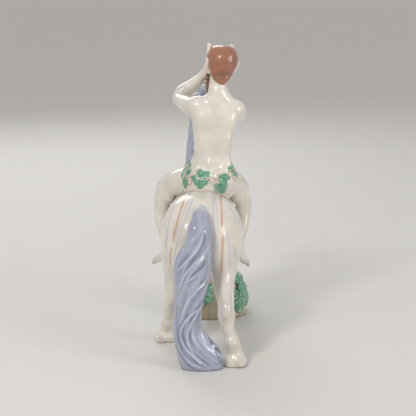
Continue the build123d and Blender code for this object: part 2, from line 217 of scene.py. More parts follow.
def piece(name, points, faces, material, nodes):
    """A smooth mesh object in the group's frame, standing for some nodes, with its hollows measured."""
    mesh = bpy.data.meshes.new(name)
    mesh.from_pydata(points.tolist() if hasattr(points, "tolist") else points, [], faces)
    mesh.update()
    mesh.shade_smooth()
    obj = bpy.data.objects.new(name, mesh)
    bpy.context.scene.collection.objects.link(obj)
    mesh.materials.append(material)
    measure_hollows(mesh)
    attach(obj, "root")
    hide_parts(*nodes)
    return obj


def measure_hollows(mesh, rounds=14):
    """Stores how deep each point lies in a hollow (positive) or stands on a ridge, in millimetres."""
    count = len(mesh.vertices)
    points = np.empty(count * 3, np.float32)
    mesh.vertices.foreach_get("co", points)
    points = points.reshape(-1, 3).astype(float)
    normals = np.empty(count * 3, np.float32)
    mesh.vertices.foreach_get("normal", normals)
    normals = normals.reshape(-1, 3)
    edges = np.empty(len(mesh.edges) * 2, np.int32)
    mesh.edges.foreach_get("vertices", edges)
    edges = edges.reshape(-1, 2)
    ends = np.concatenate((edges[:, 0], edges[:, 1]))
    others = np.concatenate((edges[:, 1], edges[:, 0]))
    degree = np.maximum(np.bincount(ends, minlength=count), 1)
    soft = points.copy()
    for _ in range(rounds):
        soft = np.stack([np.bincount(ends, soft[others, i], count) for i in range(3)], 1) / degree[:, None]
    hollow = ((soft - points) * normals).sum(1) / MM
    layer = mesh.attributes.new("hollow", "FLOAT", "POINT")
    layer.data.foreach_set("value", hollow.astype(np.float32))


def shade_seams(obj, others, reach=2.4, depth=1.5):
    """Marks the points of a piece that lie next to other pieces as hollow, so that painted shade darkens the
    seams where pieces meet.
    """
    tree = BVHTree.FromPolygons(*gathered(others))
    layer = obj.data.attributes["hollow"].data
    for vertex in obj.data.vertices:
        near = tree.find_nearest(vertex.co, reach * MM)[3]
        if near is not None:
            value = layer[vertex.index].value
            layer[vertex.index].value = max(value, depth * (1 - near / (reach * MM)))


def gathered(objects):
    points, faces = [], []
    for obj in objects:
        first = len(points)
        points += [v.co for v in obj.data.vertices]
        faces += [[first + i for i in p.vertices] for p in obj.data.polygons]
    return points, faces


# ================================================================ glazes
def linear(colour):
    return tuple(c / 12.92 if c <= 0.04045 else ((c + 0.055) / 1.055) ** 2.4 for c in colour) + (1.0,)


class Glaze:
    """Painted porcelain under a clear glaze: painted shade darkens it in hollows and painted highlight
    lightens it on ridges, where coloured glazes also pool and run thin.
    """

    def __init__(self, name, colour, deep, ridge_highlight, shade_reach=0.8, highlight_reach=0.8, mottle=0.06):
        self.material = bpy.data.materials.new(name)
        self.material.use_nodes = True
        self.tree = self.material.node_tree
        self.shader = self.tree.nodes["Principled BSDF"]
        self.place = self.node("ShaderNodeTexCoord").outputs["Object"]
        self.colour = self.mottled(colour, mottle)
        hollow = self.node("ShaderNodeAttribute", attribute_name="hollow").outputs["Fac"]
        # painted shade: the deep colour laid into hollows and seams, where coloured glazes also pool
        self.paint(self.range(hollow, 0.02, shade_reach, 0, 0.9), deep)
        # painted highlight: the pale colour laid along ridges, where coloured glazes also run thin
        self.paint(self.range(hollow, -0.02, -highlight_reach, 0, 0.85), ridge_highlight)
        shader = self.shader.inputs
        shader["Coat Weight"].default_value = 1.0
        shader["Coat Roughness"].default_value = 0.03
        shader["Coat IOR"].default_value = 1.5
        rough = self.noise(45, 3)
        self.link(self.range(rough, 0.3, 0.7, 0.30, 0.42), shader["Roughness"])
        self.orange_peel()

    def node(self, kind, **settings):
        node = self.tree.nodes.new(kind)
        for key, value in settings.items():
            setattr(node, key, value)
        return node

    def link(self, source, target):
        self.tree.links.new(source, target)

    def noise(self, scale, detail=2.0, source=None):
        node = self.node("ShaderNodeTexNoise")
        node.inputs["Scale"].default_value = scale
        node.inputs["Detail"].default_value = detail
        self.link(source or self.place, node.inputs["Vector"])
        return node.outputs["Fac"]

    def range(self, value, low, high, bottom=0.0, top=1.0, smooth=True):
        node = self.node("ShaderNodeMapRange", interpolation_type="SMOOTHSTEP" if smooth else "LINEAR")
        for socket, number in zip(("From Min", "From Max", "To Min", "To Max"), (low, high, bottom, top)):
            node.inputs[socket].default_value = number
        self.link(value, node.inputs["Value"])
        return node.outputs["Result"]

    def math(self, operation, first, second=None):
        node = self.node("ShaderNodeMath", operation=operation)
        for socket, value in zip(node.inputs, (first, second)):
            if isinstance(value, (int, float)):
                socket.default_value = value
            elif value is not None:
                self.link(value, socket)
        return node.outputs[0]

    def mottled(self, colour, amount):
        darker = tuple(c * (1 - amount) for c in colour)
        mix = self.node("ShaderNodeMix", data_type="RGBA")
        mix.inputs["A"].default_value = linear(colour)
        mix.inputs["B"].default_value = linear(darker)
        self.link(self.range(self.noise(38, 4), 0.35, 0.7), mix.inputs["Factor"])
        return mix.outputs["Result"]

    def paint(self, amount, colour):
        """Lays a colour over what is there, by an amount between 0 and 1."""
        mix = self.node("ShaderNodeMix", data_type="RGBA")
        self.link(amount, mix.inputs["Factor"])
        self.link(self.colour, mix.inputs["A"])
        if isinstance(colour, tuple):
            mix.inputs["B"].default_value = linear(colour)
        else:
            self.link(colour, mix.inputs["B"])
        self.colour = mix.outputs["Result"]

    def spot(self, centre, radii, colour, soft=0.35, amount=1.0, turn=(0, 0, 0)):
        """A soft-edged painted oval in space, in millimetres."""
        mapping = self.node("ShaderNodeMapping", vector_type="TEXTURE")
        mapping.inputs["Location"].default_value = [c * MM for c in centre]
        mapping.inputs["Rotation"].default_value = [math.radians(a) for a in turn]
        mapping.inputs["Scale"].default_value = [r * MM for r in np.broadcast_to(radii, 3)]
        self.link(self.place, mapping.inputs["Vector"])
        length = self.node("ShaderNodeVectorMath", operation="LENGTH")
        self.link(mapping.outputs["Vector"], length.inputs[0])
        self.paint(self.range(length.outputs["Value"], 1 + soft, 1 - soft, 0, amount), colour)

    def orange_peel(self):
        bump = self.node("ShaderNodeBump")
        bump.inputs["Strength"].default_value = 0.15
        bump.inputs["Distance"].default_value = 0.0003
        self.link(self.noise(160, 2), bump.inputs["Height"])
        self.link(bump.outputs["Normal"], self.shader.inputs["Normal"])
        coat = self.node("ShaderNodeBump")
        coat.inputs["Strength"].default_value = 0.035
        coat.inputs["Distance"].default_value = 0.0003
        self.link(self.noise(110, 1), coat.inputs["Height"])
        self.link(coat.outputs["Normal"], self.shader.inputs["Coat Normal"])

    def done(self):
        self.link(self.colour, self.shader.inputs["Base Color"])
        return self.material


# ================================================================ the horse
LEFT_HIND = [
    (30, 58, 132, 20, 30), (33, 55, 117, 17, 25), (35.5, 59, 97, 13.5, 18), (37.5, 67, 79, 10.5, 13.5),
    (39, 68, 65, 9.5, 12), (40.5, 61, 51, 8, 9), (43, 53, 38, 7.6, 8.4), (45, 47.5, 29, 9.2, 10),
    (46.5, 43, 20, 8.8, 9.5),
]
RIGHT_HIND = [
    (-27, 80, 134, 20, 30), (-29, 86, 117, 17.5, 26), (-29.5, 102, 97, 13.5, 18),
    (-31.5, 121, 79, 11, 13.5), (-32.5, 129, 65, 10, 12), (-33.5, 131, 51, 8.5, 9.4),
    (-37, 131, 38, 8.2, 9), (-40, 133, 29, 9.6, 10.4), (-42.5, 133, 20, 9.2, 10),
]
LEFT_FORE = [
    (26, -64, 160, 17, 26), (29, -68, 142, 15, 21), (31, -82, 124, 12, 15), (31, -102, 117, 9.5, 11),
    (31, -119, 113, 8.6, 9.6), (31, -130, 103, 9, 9.6), (31, -130, 88, 6.6, 7.2), (31, -125, 71, 6.3, 7),
    (31, -123, 60, 8, 8.6), (31, -127, 50, 7.3, 7.8),
]
RIGHT_FORE = [
    (-26, -64, 162, 17, 26), (-29, -70, 145, 15, 21), (-31, -88, 131, 12, 15), (-31, -110, 128, 9.5, 11),
    (-31, -128, 127, 8.6, 9.6), (-31, -140, 119, 9, 9.6), (-31, -145, 104, 6.6, 7.2),
    (-31, -143, 88, 6.3, 7), (-31, -141, 77, 8, 8.6), (-31, -144, 67, 7.3, 7.8),
]
NECK = [
    (0, -50, 160, 30, 44), (0, -60, 184, 26, 41), (0, -69, 207, 22, 35), (0, -77, 232, 18.5, 29),
    (0, -82, 258, 15.5, 24), (0, -86, 281, 13.5, 20), (0, -91, 302, 12, 16),
]


def hoof(clay, ankle, sole, toe):
    """A pastern's end over a bell-shaped hoof with two heel bulbs, from `ankle` down to a flat `sole`."""
    ankle, sole = np.array(ankle, float), np.array(sole, float)
    down = sole - ankle
    heel = -unit((*toe, 0))
    side = np.array((-heel[1], heel[0], 0))
    clay.limb([(*(ankle + 0.42 * down), 9.6, 10.4), (*(ankle + 0.7 * down), 12.6, 14),
               (*(ankle + 0.95 * down), 14.0, 16), (*(ankle + 1.2 * down), 14.2, 16.2)], blend=1.6)
    for sign in (1, -1):
        clay.ball(sole - 0.34 * down + 9.5 * heel + 6.4 * sign * side, (6.4, 6.4, 6.6), blend=2.2)
        clay.ball(sole - 0.10 * down + 8.5 * heel + 6.8 * sign * side, (6.8, 6.8, 5.0), blend=2.2)
    clay.limb([(*(sole - 0.3 * down + 17.5 * heel), 0.8), (*(sole + 15 * heel), 1.8)], blend=4, carve=True)
    clay.flatten(sole, down, 26)


def head_point(x, s, h):
    """A point of the horse's head: x to its left, s from poll to muzzle, h out from the middle line."""
    return np.array((x, -83 - 0.677 * s - 0.737 * h, 319 - 0.737 * s + 0.677 * h))


def sculpt_horse():
    clay = Clay((-64, -168, -3), (68, 160, 352), 1.3)
    trunk(clay)
    hind_leg(clay, LEFT_HIND)
    hind_leg(clay, RIGHT_HIND)
    fore_leg(clay, LEFT_FORE)
    fore_leg(clay, RIGHT_FORE)
    clay.limb(NECK, blend=16)
    neck_muscles(clay)
    horse_head(clay)
    hoof(clay, LEFT_HIND[-1][:3], (50, 36, 0), (0.2, -1))
    hoof(clay, RIGHT_HIND[-1][:3], (-45.5, 134, 0), (-0.2, -1))
    hoof(clay, LEFT_FORE[-1][:3], (31, -134, 34), (0, -1))
    hoof(clay, RIGHT_FORE[-1][:3], (-31, -149, 50), (0, -1))
    clay.above()
    return clay.mesh("horse", horse_glaze(), "white_porcelain", [
        "horse_body", "horse_neck", "horse_head", "horse_left_ear", "horse_right_ear",
        "horse_left_hind_leg", "horse_right_hind_leg", "horse_left_foreleg", "horse_right_foreleg"])


def trunk(clay):
    clay.ball((0, 8, 156), (47, 84, 52), blend=2)
    clay.ball((0, 62, 162), (50, 54, 50), blend=14)
    clay.ball((0, -56, 168), (41, 45, 49), blend=16)
    clay.ball((24, 64, 142), (28.5, 44, 50), blend=8)
    clay.ball((-26.5, 72, 152), (28, 42, 48), blend=8)
    clay.ball((17, 96, 150), (20, 24, 36), blend=8)
    clay.ball((-18, 97, 152), (20, 24, 36), blend=8)
    clay.limb([(0, 60, 214, 3), (0, 95, 208, 3), (0, 118, 190, 3)], blend=6, carve=True)
    clay.pair("ball", (27, -58, 168), (15, 26, 34), blend=10, turn=(-15, 0, 0))
    clay.pair("ball", (15, -90, 160), (15, 14, 20), blend=8)
    clay.ball((0, -104, 158), (3, 8, 22), blend=6, carve=True)


def hind_leg(clay, rows):
    clay.limb(rows, blend=10)
    hock, above = np.array(rows[4][:3]), np.array(rows[3][:3])
    clay.ball(hock + (0, 8, 8), (4.4, 5, 9), blend=9, turn=(20, 0, 0))
    for out in (1, -1):
        clay.limb([(*(above + (out * 9.5, 5, 10)), 0.6), (*(hock + (out * 9.4, 3, 2)), 0.8)], blend=6,
                  carve=True)
        clay.ball(hock + (out * 6.0, -2, -3), (3, 5, 6), blend=7)
    fetlock = np.array(rows[7][:3])
    clay.ball(fetlock + (0, 6, 0), (6, 4.5, 5), blend=5)


def fore_leg(clay, rows):
    clay.limb(rows, blend=9)
    knee, cannon, fetlock = (np.array(rows[i][:3]) for i in (5, 7, 8))
    clay.ball(knee + (0, -4, 2), (7, 5, 7), blend=4)
    clay.ball(knee + (0, 7, -1), (4, 4, 5), blend=4)
    for out in (1, -1):
        clay.limb([(*(knee + (out * 6.6, 2, -14)), 0.8), (*(cannon + (out * 6, 2, 6)), 0.8)], blend=3,
                  carve=True)
    clay.ball(fetlock + (0, 6, 1), (4.5, 4, 4.5), blend=3.5)


def neck_muscles(clay):
    clay.pair("limb", [(17, -101, 185, 0.8), (14, -103, 215, 1.0), (11.5, -101, 245, 1.0),
                       (9.5, -99, 275, 0.8)],
              blend=10, carve=True)
    clay.limb([(0, -30, 213, 5), (0, -46, 240, 5.5), (0, -58, 264, 5.5), (0, -68, 288, 5), (0, -77, 310, 5)],
              blend=10)


def horse_head(clay):
    rows = [(1, 9, 11), (14, 12.5, 16), (28, 14, 18), (44, 11.5, 15), (60, 8.8, 11.5), (76, 8, 9.6),
            (86, 8.6, 9.2)]
    middle = [(*head_point(0, s, 0.12 * (s - 60) * (s < 60)), a, b) for s, a, b in rows]
    clay.limb(middle, blend=8)
    clay.pair("ball", head_point(8.5, 25, -7), (6.5, 15, 12), blend=5, turn=(47, 0, 0))
    clay.limb([(*head_point(0, 20, 12), 6), (*head_point(0, 45, 9.5), 5), (*head_point(0, 72, 6.5), 4)],
              blend=6)
    clay.ball(head_point(0, 87, -1), (9.8, 9.4, 8.5), blend=6, turn=(47, 0, 0))
    clay.ball(head_point(0, 86, -8), (6, 6, 4.5), blend=3, turn=(47, 0, 0))
    clay.pair("ball", head_point(12.5, 31, 6.5), (4.5, 6.5, 4), blend=3, turn=(47, 0, 0))
    clay.pair("ball", head_point(13.5, 34, 2.8), (3.6, 5.4, 3.6), blend=2, turn=(47, 0, 0), carve=True)
    clay.pair("ball", head_point(11.9, 34, 2.6), (3.5, 4.4, 3.7), blend=0.5)
    clay.pair("limb", [(*head_point(14.5, 29.5, 4.3), 0.9), (*head_point(15.3, 34, 6), 1.1),
                       (*head_point(13.6, 39, 4), 0.8)], blend=1.2)
    clay.pair("limb", [(*head_point(14.5, 29.5, 3.5), 0.7), (*head_point(15.0, 34, 0), 0.7),
                       (*head_point(13.6, 39, 2.5), 0.6)], blend=1.2)
    clay.pair("limb", [(*head_point(10.5, 44, 4), 1.2), (*head_point(8, 70, 2), 0.9)], blend=5, carve=True)
    clay.pair("ball", head_point(7, 88.5, 3.2), (3.4, 4.6, 3.8), blend=2.5, turn=(47, 0, 0))
    clay.pair("ball", head_point(8.6, 90.5, 3.6), (2.0, 3.0, 2.2), blend=1.2, turn=(60, 0, 0), carve=True)
    clay.limb([(*head_point(-9, 80, -5.2), 0.7), (*head_point(-6.5, 92, -5.2), 0.8),
               (*head_point(0, 97, -4.6), 0.8),
               (*head_point(6.5, 92, -5.2), 0.8), (*head_point(9, 80, -5.2), 0.7)], blend=1.4, carve=True)
    clay.pair("limb", [(7.5, -88, 318, 4.5, 4), (9, -91, 330, 5.4, 3.6), (9.8, -93, 340, 4.8, 2.8),
                       (10, -94, 347.5, 1.8, 1.2)], blend=3)
    clay.pair("limb", [(9.5, -94, 325, 2.2), (10.6, -96.5, 333, 2.6), (11.2, -96, 342, 1.2)], blend=1.5,
              carve=True)


# brushed lines that run down the haunches: half width, colour, and (x, z) from top to bottom
HAUNCH_LINES = [
    (1.15, TAN, [(18, 214), (23, 202), (29, 183), (34, 165), (35.5, 153)]),
    (1.05, TAN, [(37.2, 148), (39.6, 137), (39.8, 118)]),
    (1.2, TAN, [(-24.7, 214), (-26.4, 192), (-27.7, 165), (-27.2, 141), (-25.5, 112)]),
    (0.8, PALE_LAVENDER, [(9, 211), (16.5, 192), (25, 172), (31.4, 151), (35.5, 128)]),
    (0.7, PALE_LAVENDER, [(15, 209), (21.5, 192), (29, 172), (33, 160)]),
    (0.8, PALE_LAVENDER, [(29.7, 206), (38, 187), (44, 165), (46, 141)]),
    (0.8, PALE_LAVENDER, [(40.5, 172), (44, 151), (44.5, 120)]),
    (0.9, PALE_LAVENDER, [(-14, 212), (-16.4, 192), (-17.3, 165), (-16.5, 141), (-17.3, 104)]),
    (0.8, PALE_LAVENDER, [(-33.8, 170), (-36.3, 144), (-37, 114)]),
    (0.9, PALE_LAVENDER, [(-33, 200), (-42, 188), (-47.5, 172)]),
    (0.8, PALE_LAVENDER, [(-41, 149), (-45.5, 134), (-47, 122)]),
    (0.7, PALE_LAVENDER, [(-18, 210), (-21, 192), (-21.5, 176)]),
    (0.7, PALE_LAVENDER, [(-37.5, 104), (-38, 85), (-39, 62)]),
]


def horse_glaze():
    glaze = Glaze("horse_glaze", WHITE, SHADE, (0.93, 0.91, 0.88), shade_reach=2.2, highlight_reach=1.8)
    paint_haunches(glaze)
    for sign in (1, -1):
        glaze.spot(head_point(sign * 12.6, 34, 2.8), (3.6, 3.6, 2.4), BLACK, 0.12, turn=(47, 0, 0))
        # painted highlight: a white glint on each eye
        glaze.spot(head_point(sign * 15.4, 34.5, 3.8), (1.0, 0.9, 0.9), WHITE, 0.2)
        glaze.spot(head_point(sign * 9.2, 91, 3.6), (2.6, 3.2, 2.4), ROSE, 0.4, 0.8, turn=(47, 0, 0))
        # painted shade: grey laid into the hollow of each ear
        glaze.spot((sign * 11, -96.5, 334), (2.4, 3, 9), GREY, 0.4, 0.7)
    glaze.spot(head_point(0, 90, -5), (10.5, 9, 0.9), ROSE, 0.4, 0.7, turn=(47, 0, 0))
    glaze.spot((-2, 116, 196), (15, 18, 14), PALE_LAVENDER, 0.5, 0.7)
    return glaze.done()


def paint_haunches(glaze):
    """Brushed lines that run down from the croup over the haunches."""
    split = glaze.node("ShaderNodeSeparateXYZ")
    glaze.link(glaze.place, split.inputs[0])
    x, y, z = split.outputs
    wander = glaze.math("MULTIPLY", glaze.math("SUBTRACT", glaze.noise(18, 1), 0.5), 0.003)
    across = glaze.math("ADD", x, wander)
    strength = glaze.math("MULTIPLY", glaze.range(glaze.noise(60, 2), 0.25, 0.6, 0.65, 0.95),
                          glaze.range(y, 0.045, 0.06))
    for half, colour, row in HAUNCH_LINES:
        top, low = row[0][1], row[-1][1]
        away = glaze.math("SUBTRACT", across, row[0][0] * MM)
        for (above_x, above), (below_x, below) in zip(row, row[1:]):
            shift = glaze.range(z, above * MM, below * MM, 0, (below_x - above_x) * MM, smooth=False)
            away = glaze.math("SUBTRACT", away, shift)
        away = glaze.math("ABSOLUTE", away)
        line = glaze.math("MULTIPLY", glaze.range(away, 1.9 * half * MM, 0.3 * half * MM), strength)
        line = glaze.math("MULTIPLY", line, glaze.range(z, (top + 2) * MM, (top - 6) * MM))
        line = glaze.math("MULTIPLY", line, glaze.range(z, (low - 2) * MM, (low + 7) * MM))
        glaze.paint(line, colour)


# ================================================================ mane, forelock and tail
def neck_point(height, turn, lift):
    """A point on the neck, lifted by so many millimetres; turn 0 is the crest and 90 the left side."""
    rows = np.array(NECK)
    y, across, deep = (np.interp(height, rows[:, 2], rows[:, k]) for k in (1, 3, 4))
    c, s = math.cos(math.radians(turn)), math.sin(math.radians(turn))
    return s * (across + lift), y + c * (deep + lift), height


# locks of the mane: height at the crest, how far they fall, how far they turn round the neck
MANE_LOCKS = [
    (323, 46, 84), (312, 56, 74), (301, 52, 92), (290, 60, 76), (278, 54, 94), (266, 60, 78), (254, 54, 92),
    (243, 54, 76), (232, 44, 86), (223, 34, 70),
]


def sculpt_mane():
    clay = Clay((-22, -112, 170), (42, -14, 342), 0.85)
    clay.limb([(*neck_point(z, 0, -1.5), 5.0) for z in range(214, 330, 12)], blend=3)
    for k, (top, fall, reach) in enumerate(MANE_LOCKS):
        rows = []
        for part, share, wide, thick in ((0, 0, 5, 4), (0.12, 0.36, 7.5, 4.4), (0.38, 0.68, 8, 4.2),
                                         (0.68, 0.9, 6.5, 3.6), (0.9, 1.0, 3.6, 2.4), (1.0, 0.98, 1.0, 0.8)):
            curl = 5 * math.sin(2.4 * part * math.pi + 1.1 * k)
            rows.append((*neck_point(top - fall * part, reach * share + curl, 1.0), thick, wide))
        clay.limb(rows, blend=1.6, ribs=6, depth=0.45, twist=50)
    return clay.mesh("mane", hair_glaze("mane_glaze"), "lavender_glaze", ["horse_mane"])


def sculpt_forelock():
    clay = Clay((-16, -130, 296), (18, -72, 345), 0.7)
    for out, end in ((-5, 96), (-1.5, 112), (3, 108), (6.5, 92)):
        clay.limb([
            (0.2 * out, -80, 326, 3.2), (0.7 * out, -90, 330.5, 3.6), (out, -100, 325, 3.2),
            (1.2 * out, -0.5 * (end + 104), 316, 2.4), (0.9 * out, -end - 4, 306, 0.8)],
            blend=1.0, ribs=7, depth=0.5)
    return clay.mesh("forelock", hair_glaze("forelock_glaze"), "lavender_glaze", ["horse_forelock"])


# tail: height, middle, half width, middle in y, half depth
TAIL = [
    (200, 0.2, 4.4, 114, 4), (196, 0.4, 7.2, 117, 6), (191, 0.6, 9.8, 121, 8), (185, 0.9, 12.4, 125, 9.2),
    (176, 1.3, 15.6, 129, 10), (163, 2.5, 17.8, 133, 10.5), (149, 4.8, 20.6, 136, 11),
    (136, 9.4, 24.2, 138, 12), (120, 11.2, 25, 139, 12), (104, 12.3, 21.9, 140, 12),
    (88, 14.9, 19.7, 140, 12), (67, 16.4, 18.4, 142, 12), (51, 16.6, 19.9, 145, 12),
    (37, 12.7, 23, 147, 12.5), (24, 6.6, 27, 148.6, 13), (12, 0.2, 29, 149.4, 13), (-4, -4, 26, 149.4, 13),
]

# ridges on the tail's outer face, as (x, z) from top to bottom, with their radius
TAIL_RIDGES = [
    (6.0, [(3, 192), (8, 179), (13, 165), (18, 152), (25, 139), (30, 122), (31, 104), (30, 88), (31, 60),
           (30, 40),
           (24, 22), (14, 8), (2, 2)]),
    (5.0, [(-2.5, 173), (8, 163), (15, 152), (22, 140), (27, 127), (30, 112)]),
    (5.4, [(-6, 183), (-7.5, 174), (-5, 162), (2, 150), (12, 138), (21, 122), (27, 104), (29, 86)]),
    (6.0, [(-10, 152), (-5, 137), (4, 127), (13, 116), (21, 98), (27, 80), (29, 62), (27, 44), (19, 27),
           (5, 14),
           (-8, 8)]),
    (6.0, [(-10, 131), (-6, 113), (2, 98), (12, 83), (20, 68), (24, 53), (22, 39), (13, 26), (-2, 14),
           (-17, 5)]),
    (5.0, [(-8, 112), (-4, 95), (4, 79), (11, 64), (14, 50), (9, 36), (-3, 23), (-20, 10)]),
    (4.6, [(-2.5, 84), (3, 68), (5, 54), (1.5, 40), (-7, 28), (-20, 18), (-27, 11)]),
]
# folds cut between them
TAIL_FOLDS = [
    [(-13, 150), (-9, 138), (-3, 130), (8, 121), (16, 115)],
    [(-8, 100), (-4, 86), (2, 78), (10, 74), (20, 63), (25, 52), (25, 43), (19, 31), (10, 21), (-1, 12),
     (-16, 3)],
    [(29, 92), (33, 78), (33, 60), (32, 46), (28, 31), (20, 18), (9, 9), (-6, 6)],
    [(0, 80), (9, 66), (15, 54), (17, 43), (14, 33), (7, 21), (-4, 11), (-14, 4)],
    [(-4, 46), (-12, 34), (-23, 23), (-29, 17)],
    [(-4, 178), (-1, 166), (4, 155), (12, 146), (20, 138), (27, 128)],
    [(-12, 168), (-9, 156), (-2, 146), (7, 138), (15, 130), (22, 119), (26, 106)],
    [(-10, 128), (-5, 114), (4, 104), (13, 94), (20, 80), (24, 66)],
]


def on_tail(x, z, depth, face):
    """A point under the surface of the tail's outer (1) or inner (-1) face."""
    rows = np.array(TAIL)[::-1]
    middle, wide, y, deep = (np.interp(z, rows[:, 0], rows[:, k]) for k in (1, 2, 3, 4))
    across = float(np.clip((x - middle) / wide, -0.96, 0.96))
    bulge = math.sqrt(1 - across * across)
    return middle + face * across * (wide - depth), y + face * (deep - depth) * bulge, z


def sculpt_tail():
    clay = Clay((-38, 96, -4), (44, 172, 214), 0.9)
    clay.limb([(c, y, z, 0.93 * w, 0.88 * d) for z, c, w, y, d in TAIL], blend=2)
    for face in (1, -1):
        for radius, ridge in TAIL_RIDGES:
            rows = [(*on_tail(x, z, radius - 0.9, face), radius) for x, z in ridge]
            rows[0] = (*rows[0][:3], 0.5 * radius)
            rows[-1] = (*rows[-1][:3], 0.7 * radius)
            clay.limb(rows, blend=1.8)
        for fold in TAIL_FOLDS:
            rows = [(*on_tail(x, z, -0.1, face), 1.4) for x, z in fold]
            rows[0] = (*on_tail(*fold[0], -1.4, face), 0.4)
            rows[-1] = (*on_tail(*fold[-1], -1.4, face), 0.4)
            clay.limb(rows, blend=2.2, carve=True)
    clay.limb([(0, 100, 192, 7.4), (0.2, 110, 194, 6.8), (0.4, 118, 191, 6.8)], blend=8)
    clay.above()
    glaze = hair_glaze("tail_glaze", (-1, 114, 208))
    return clay.mesh("tail", glaze, "lavender_glaze", ["horse_tail"])


def hair_glaze(name, root=None):
    glaze = Glaze(name, LAVENDER, DEEP_LAVENDER, (0.80, 0.82, 0.88), shade_reach=0.75, highlight_reach=0.8, mottle=0.06)
    streak = glaze.node("ShaderNodeMapping")
    streak.inputs["Scale"].default_value = (150, 150, 18)
    glaze.link(glaze.place, streak.inputs["Vector"])
    sheen_and_brush_streaks = glaze.noise(1.0, 2, streak.outputs["Vector"])
    # painted highlight: paler streaks along the strands; the darker streaks below are brush tone
    glaze.paint(glaze.range(sheen_and_brush_streaks, 0.52, 0.75, 0, 0.25), (0.72, 0.75, 0.85))
    glaze.paint(glaze.range(sheen_and_brush_streaks, 0.45, 0.25, 0, 0.2), DEEP_LAVENDER)
    if root:
        glaze.spot(root, (14, 14, 12), (0.80, 0.80, 0.83), 0.8, 0.8)
    return glaze.done()


# ================================================================ the stump
def sculpt_stump():
    clay = Clay((-72, -144, -3), (44, -42, 134), 1.2)
    x, y = STUMP
    clay.limb([(x, y, -30, 50, 43), (x, y, 6, 50, 43), (x, y, 45, 42, 36), (x, y + 4, 78, 30, 27),
               (x, y + 12, 112, 24, 22), (x, y + 14, 120, 23, 21)], blend=3)
    for i in range(11):
        turn = math.tau * (i + 0.35 * math.sin(3.7 * i)) / 11
        c, s = math.cos(turn), math.sin(turn)
        clay.limb([(x + 47 * c, y + 40 * s, -4, 5.5), (x + 44 * c, y + 37 * s, 22, 4.5),
                   (x + 36 * c, y + 31 * s, 55, 4), (x + 25 * c, y + 6 + 22 * s, 92, 3)], blend=5, ribs=5,
                   depth=0.6)
    clay.above()
    hollow = Clay((-72, -144, -3), (44, -42, 134), 1.2)
    hollow.limb([(x, y, -30, 43, 36), (x, y, 6, 43, 36), (x, y, 45, 33, 28), (x, y + 6, 84, 20, 18)],
                blend=3)
    clay.field = np.maximum(clay.field, -hollow.field)
    # painted shade: olive laid into the stump's hollows
    glaze = Glaze("stump_glaze", CREAM, OLIVE_SHADE, (0.92, 0.89, 0.82), shade_reach=0.9, highlight_reach=1.0, mottle=0.08)
    glaze.paint(glaze.range(glaze.noise(26, 3), 0.52, 0.72, 0, 0.55), (0.66, 0.62, 0.47))
    # painted shade on the stump's low side towards the belly and hind legs
    glaze.spot((x + 8, y + 44, 14), (34, 30, 40), (0.50, 0.46, 0.36), 0.6, 0.75)
    return clay.mesh("stump_bark", glaze.done(), "white_porcelain", ["stump"])


# ================================================================ leaves
LEAF_BASE = 0.42            # the stalk's distance from a leaf's middle, as a share of its length
GARLAND_SCALE = 1.15        # how much bigger the garland's leaves are than their row says
RINGS = 10
SPOKES = 60


def vine_leaf(lobed):
    """Points (across, along, height, vein) of a leaf of length 1; lobed goes from 0, round, to 1, cut."""
    rows = []
    for ring in range(RINGS + 1):
        out = ring / RINGS
        for k in range(SPOKES):
            turn = math.tau * k / SPOKES
            lobes = 0.5 + 0.5 * math.cos(5 * (turn - math.pi / 2))
            tip = max(0.0, math.sin(turn)) ** 6
            edge = 0.43 - 0.14 * lobed + (0.07 + 0.15 * lobed) * lobes ** 0.5 + 0.06 * tip
            edge += 0.012 * math.cos(20 * turn)
            notch = 0.22 * max(0.0, -math.sin(turn)) ** 10
            radius = out * (edge - notch)
            vein = math.exp(-((math.sin(2.5 * (turn - math.pi / 2)) * out * 5.0) ** 2)) * (1 - 0.5 * out)
            pillow = 0.5 + 0.5 * math.cos(10 * (turn - math.pi / 2) + math.pi)
            height = 0.10 * (1 - out ** 3) + 0.06 * pillow * out * (1 - out ** 2) - 0.03 * vein
            rows.append((radius * math.cos(turn), 0.42 + radius * math.sin(turn), height, vein))
    return rows


def settle(trees, spots, outward):
    """How far out the points of a leaf move to lie on the surfaces under them, evened out, in metres."""
    levels = np.full(len(spots), -0.004)
    for i, spot in enumerate(spots):
        for tree in trees:
            hit = tree.ray_cast(spot + outward * 0.03, -outward, 0.05)
            if hit[0] is not None:
                levels[i] = max(levels[i], (hit[0] - spot).dot(outward))
    levels = levels.reshape(RINGS + 1, SPOKES)
    for _ in range(8):
        levels[0] = levels[1].mean()
        beyond = np.vstack((levels[1:], levels[-1:]))
        within = np.vstack((levels[:1], levels[:-1]))
        levels = (2 * levels + beyond + within + np.roll(levels, 1, 1) + np.roll(levels, -1, 1)) / 6
    return levels.ravel()


